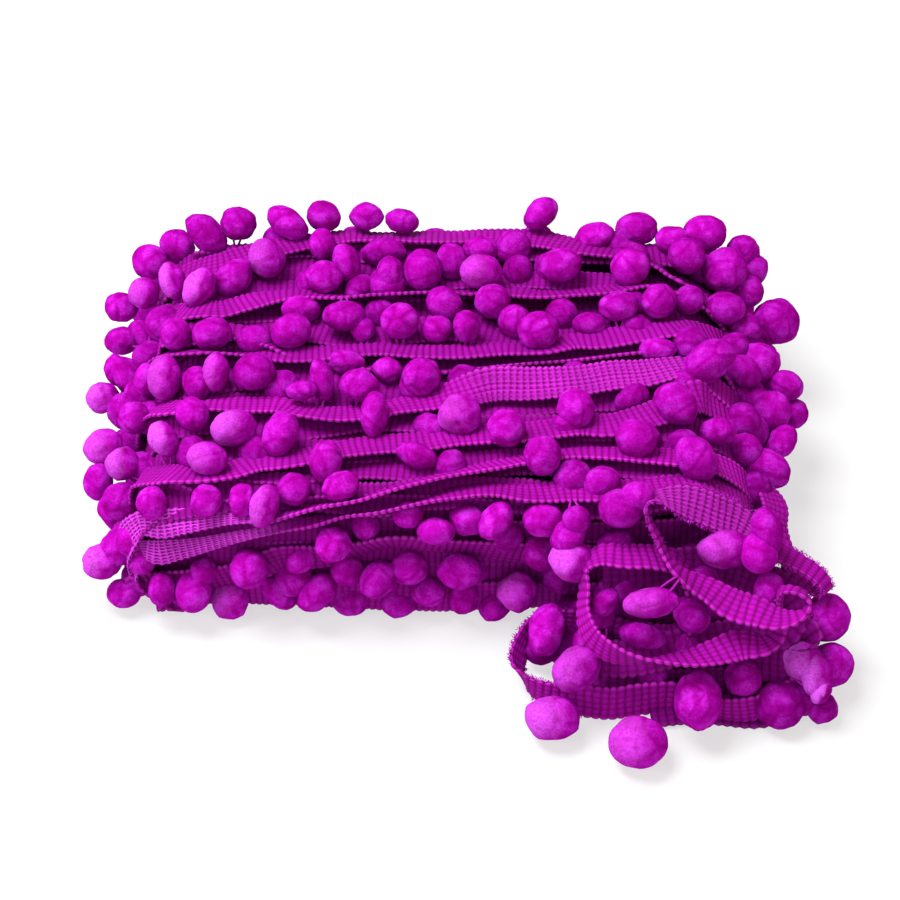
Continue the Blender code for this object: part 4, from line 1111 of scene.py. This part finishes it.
tailGroup = joinPieces("tailPompoms", tailBalls)
rideAndReplace(tailGroup, "loose_tail", felt)
for ball in list(fineBalls.values()) + list(coarseBalls.values()):
    bpy.data.objects.remove(ball, do_unlink=True)
print("pompoms placed:", len(seats) + len(tailPompoms))

# thread pairs
threadPair = {"thickness": 0.32, "apart": 0.8, "longest": 9.0, "tailLongest": 30.0, "bow": 0.8}


def threadPairs(name, balls, node, longest):
    # each pompom hangs from the nearest tape edge by two fine threads
    edges = np.vstack([rows[::4] for rows in tapeEdges])
    curve = bpy.data.curves.new(name, "CURVE")
    curve.dimensions = "3D"
    curve.bevel_depth = threadPair["thickness"] * mm
    curve.bevel_resolution = 1
    curve.use_fill_caps = True
    for centre, radius in balls:
        centre = np.array(centre, dtype=float)
        gaps = np.linalg.norm(edges - centre, axis=1)
        nearest = int(np.argmin(gaps))
        if gaps[nearest] > longest or gaps[nearest] < radius * 0.8:
            continue
        root = edges[nearest]
        run = (root - centre) / gaps[nearest]
        aside = np.cross(run, [0.0, 0.0, 1.0])
        aside = aside / max(np.linalg.norm(aside), 1e-6)
        for side in (-1, 1):
            spline = curve.splines.new("POLY")
            spline.points.add(4)
            for k in range(5):
                share = k / 4
                apart = side * (threadPair["apart"] + threadPair["bow"] * math.sin(math.pi * share))
                spot = lerp(centre, root, share) + aside * apart * (1 - 0.3 * share)
                spline.points[k].co = (*placed(spot), 1.0)
    pairs = bpy.data.objects.new(name, curve)
    bpy.context.scene.collection.objects.link(pairs)
    makeActive(pairs)
    bpy.ops.object.convert(target="MESH")
    pairs = bpy.context.object
    shadeSmooth(pairs)
    rideAndReplace(pairs, node, threads)


threadPairs(
    "bundleThreads", [(row[:3], (row[3] + row[4]) / 4) for row, _, hidden in seats], "wound_trim",
    threadPair["longest"])
threadPairs(
    "tailThreads", [(row[:3], (row[3] + row[4]) / 4) for row in tailPompoms], "loose_tail",
    threadPair["tailLongest"])
print("threads sewn")

# studio
studio = {
    "eye": (-0.0020, -0.4485, 0.4804), "lens": 96.72, "world": 0.54, "key": 15.5, "keySize": 0.5,
    "fill": 4.0, "side": 3.6, "floorGlow": 0.60, "floorGrey": 0.27,
}
deselectAll()
bpy.ops.mesh.primitive_plane_add(size=6, location=(0, 0, 0))
floor = bpy.context.object
floor.name = "studioFloor"
floorMaterial, floorTree, floorShader = newMaterial("paleFloor")
floorShader.inputs["Base Color"].default_value = (studio["floorGrey"],) * 3 + (1.0,)
floorShader.inputs["Emission Color"].default_value = (1.0, 1.0, 1.0, 1.0)
floorShader.inputs["Emission Strength"].default_value = studio["floorGlow"]
floorShader.inputs["Specular IOR Level"].default_value = 0.0
floorShader.inputs["Roughness"].default_value = 0.9
floor.data.materials.append(floorMaterial)

world = bpy.data.worlds.new("studioWorld")
bpy.context.scene.world = world
world.use_nodes = True
world.node_tree.nodes["Background"].inputs["Color"].default_value = (1.0, 0.9, 0.82, 1.0)
world.node_tree.nodes["Background"].inputs["Strength"].default_value = studio["world"]


def areaLight(name, place, aim, size, power):
    light = bpy.data.lights.new(name, "AREA")
    light.shape = "SQUARE"
    light.size = size
    light.energy = power
    light.color = (0.94, 0.97, 1.0)
    lamp = bpy.data.objects.new(name, light)
    lamp.location = place
    lamp.rotation_euler = (Vector(aim) - Vector(place)).to_track_quat("-Z", "Y").to_euler()
    bpy.context.scene.collection.objects.link(lamp)
    return lamp


areaLight("keyLight", (-0.34, 0.10, 0.92), (0, 0, 0), studio["keySize"], studio["key"])
areaLight("sideLight", (-0.75, -0.25, 0.32), (0, 0, 0), 0.3, studio["side"])
areaLight("fillLight", (0.05, -0.95, 0.75), (0, 0, 0), 1.0, studio["fill"])

camera = bpy.data.cameras.new("photoCamera")
camera.lens = studio["lens"]
camera.sensor_width = 36.0
camera.clip_start = 0.01
eye = bpy.data.objects.new("photoCamera", camera)
eye.location = studio["eye"]
eye.rotation_euler = (math.radians(45), 0, 0)
bpy.context.scene.collection.objects.link(eye)
bpy.context.scene.camera = eye
bpy.context.scene.view_settings.view_transform = "Standard"
bpy.context.scene.view_settings.look = "None"
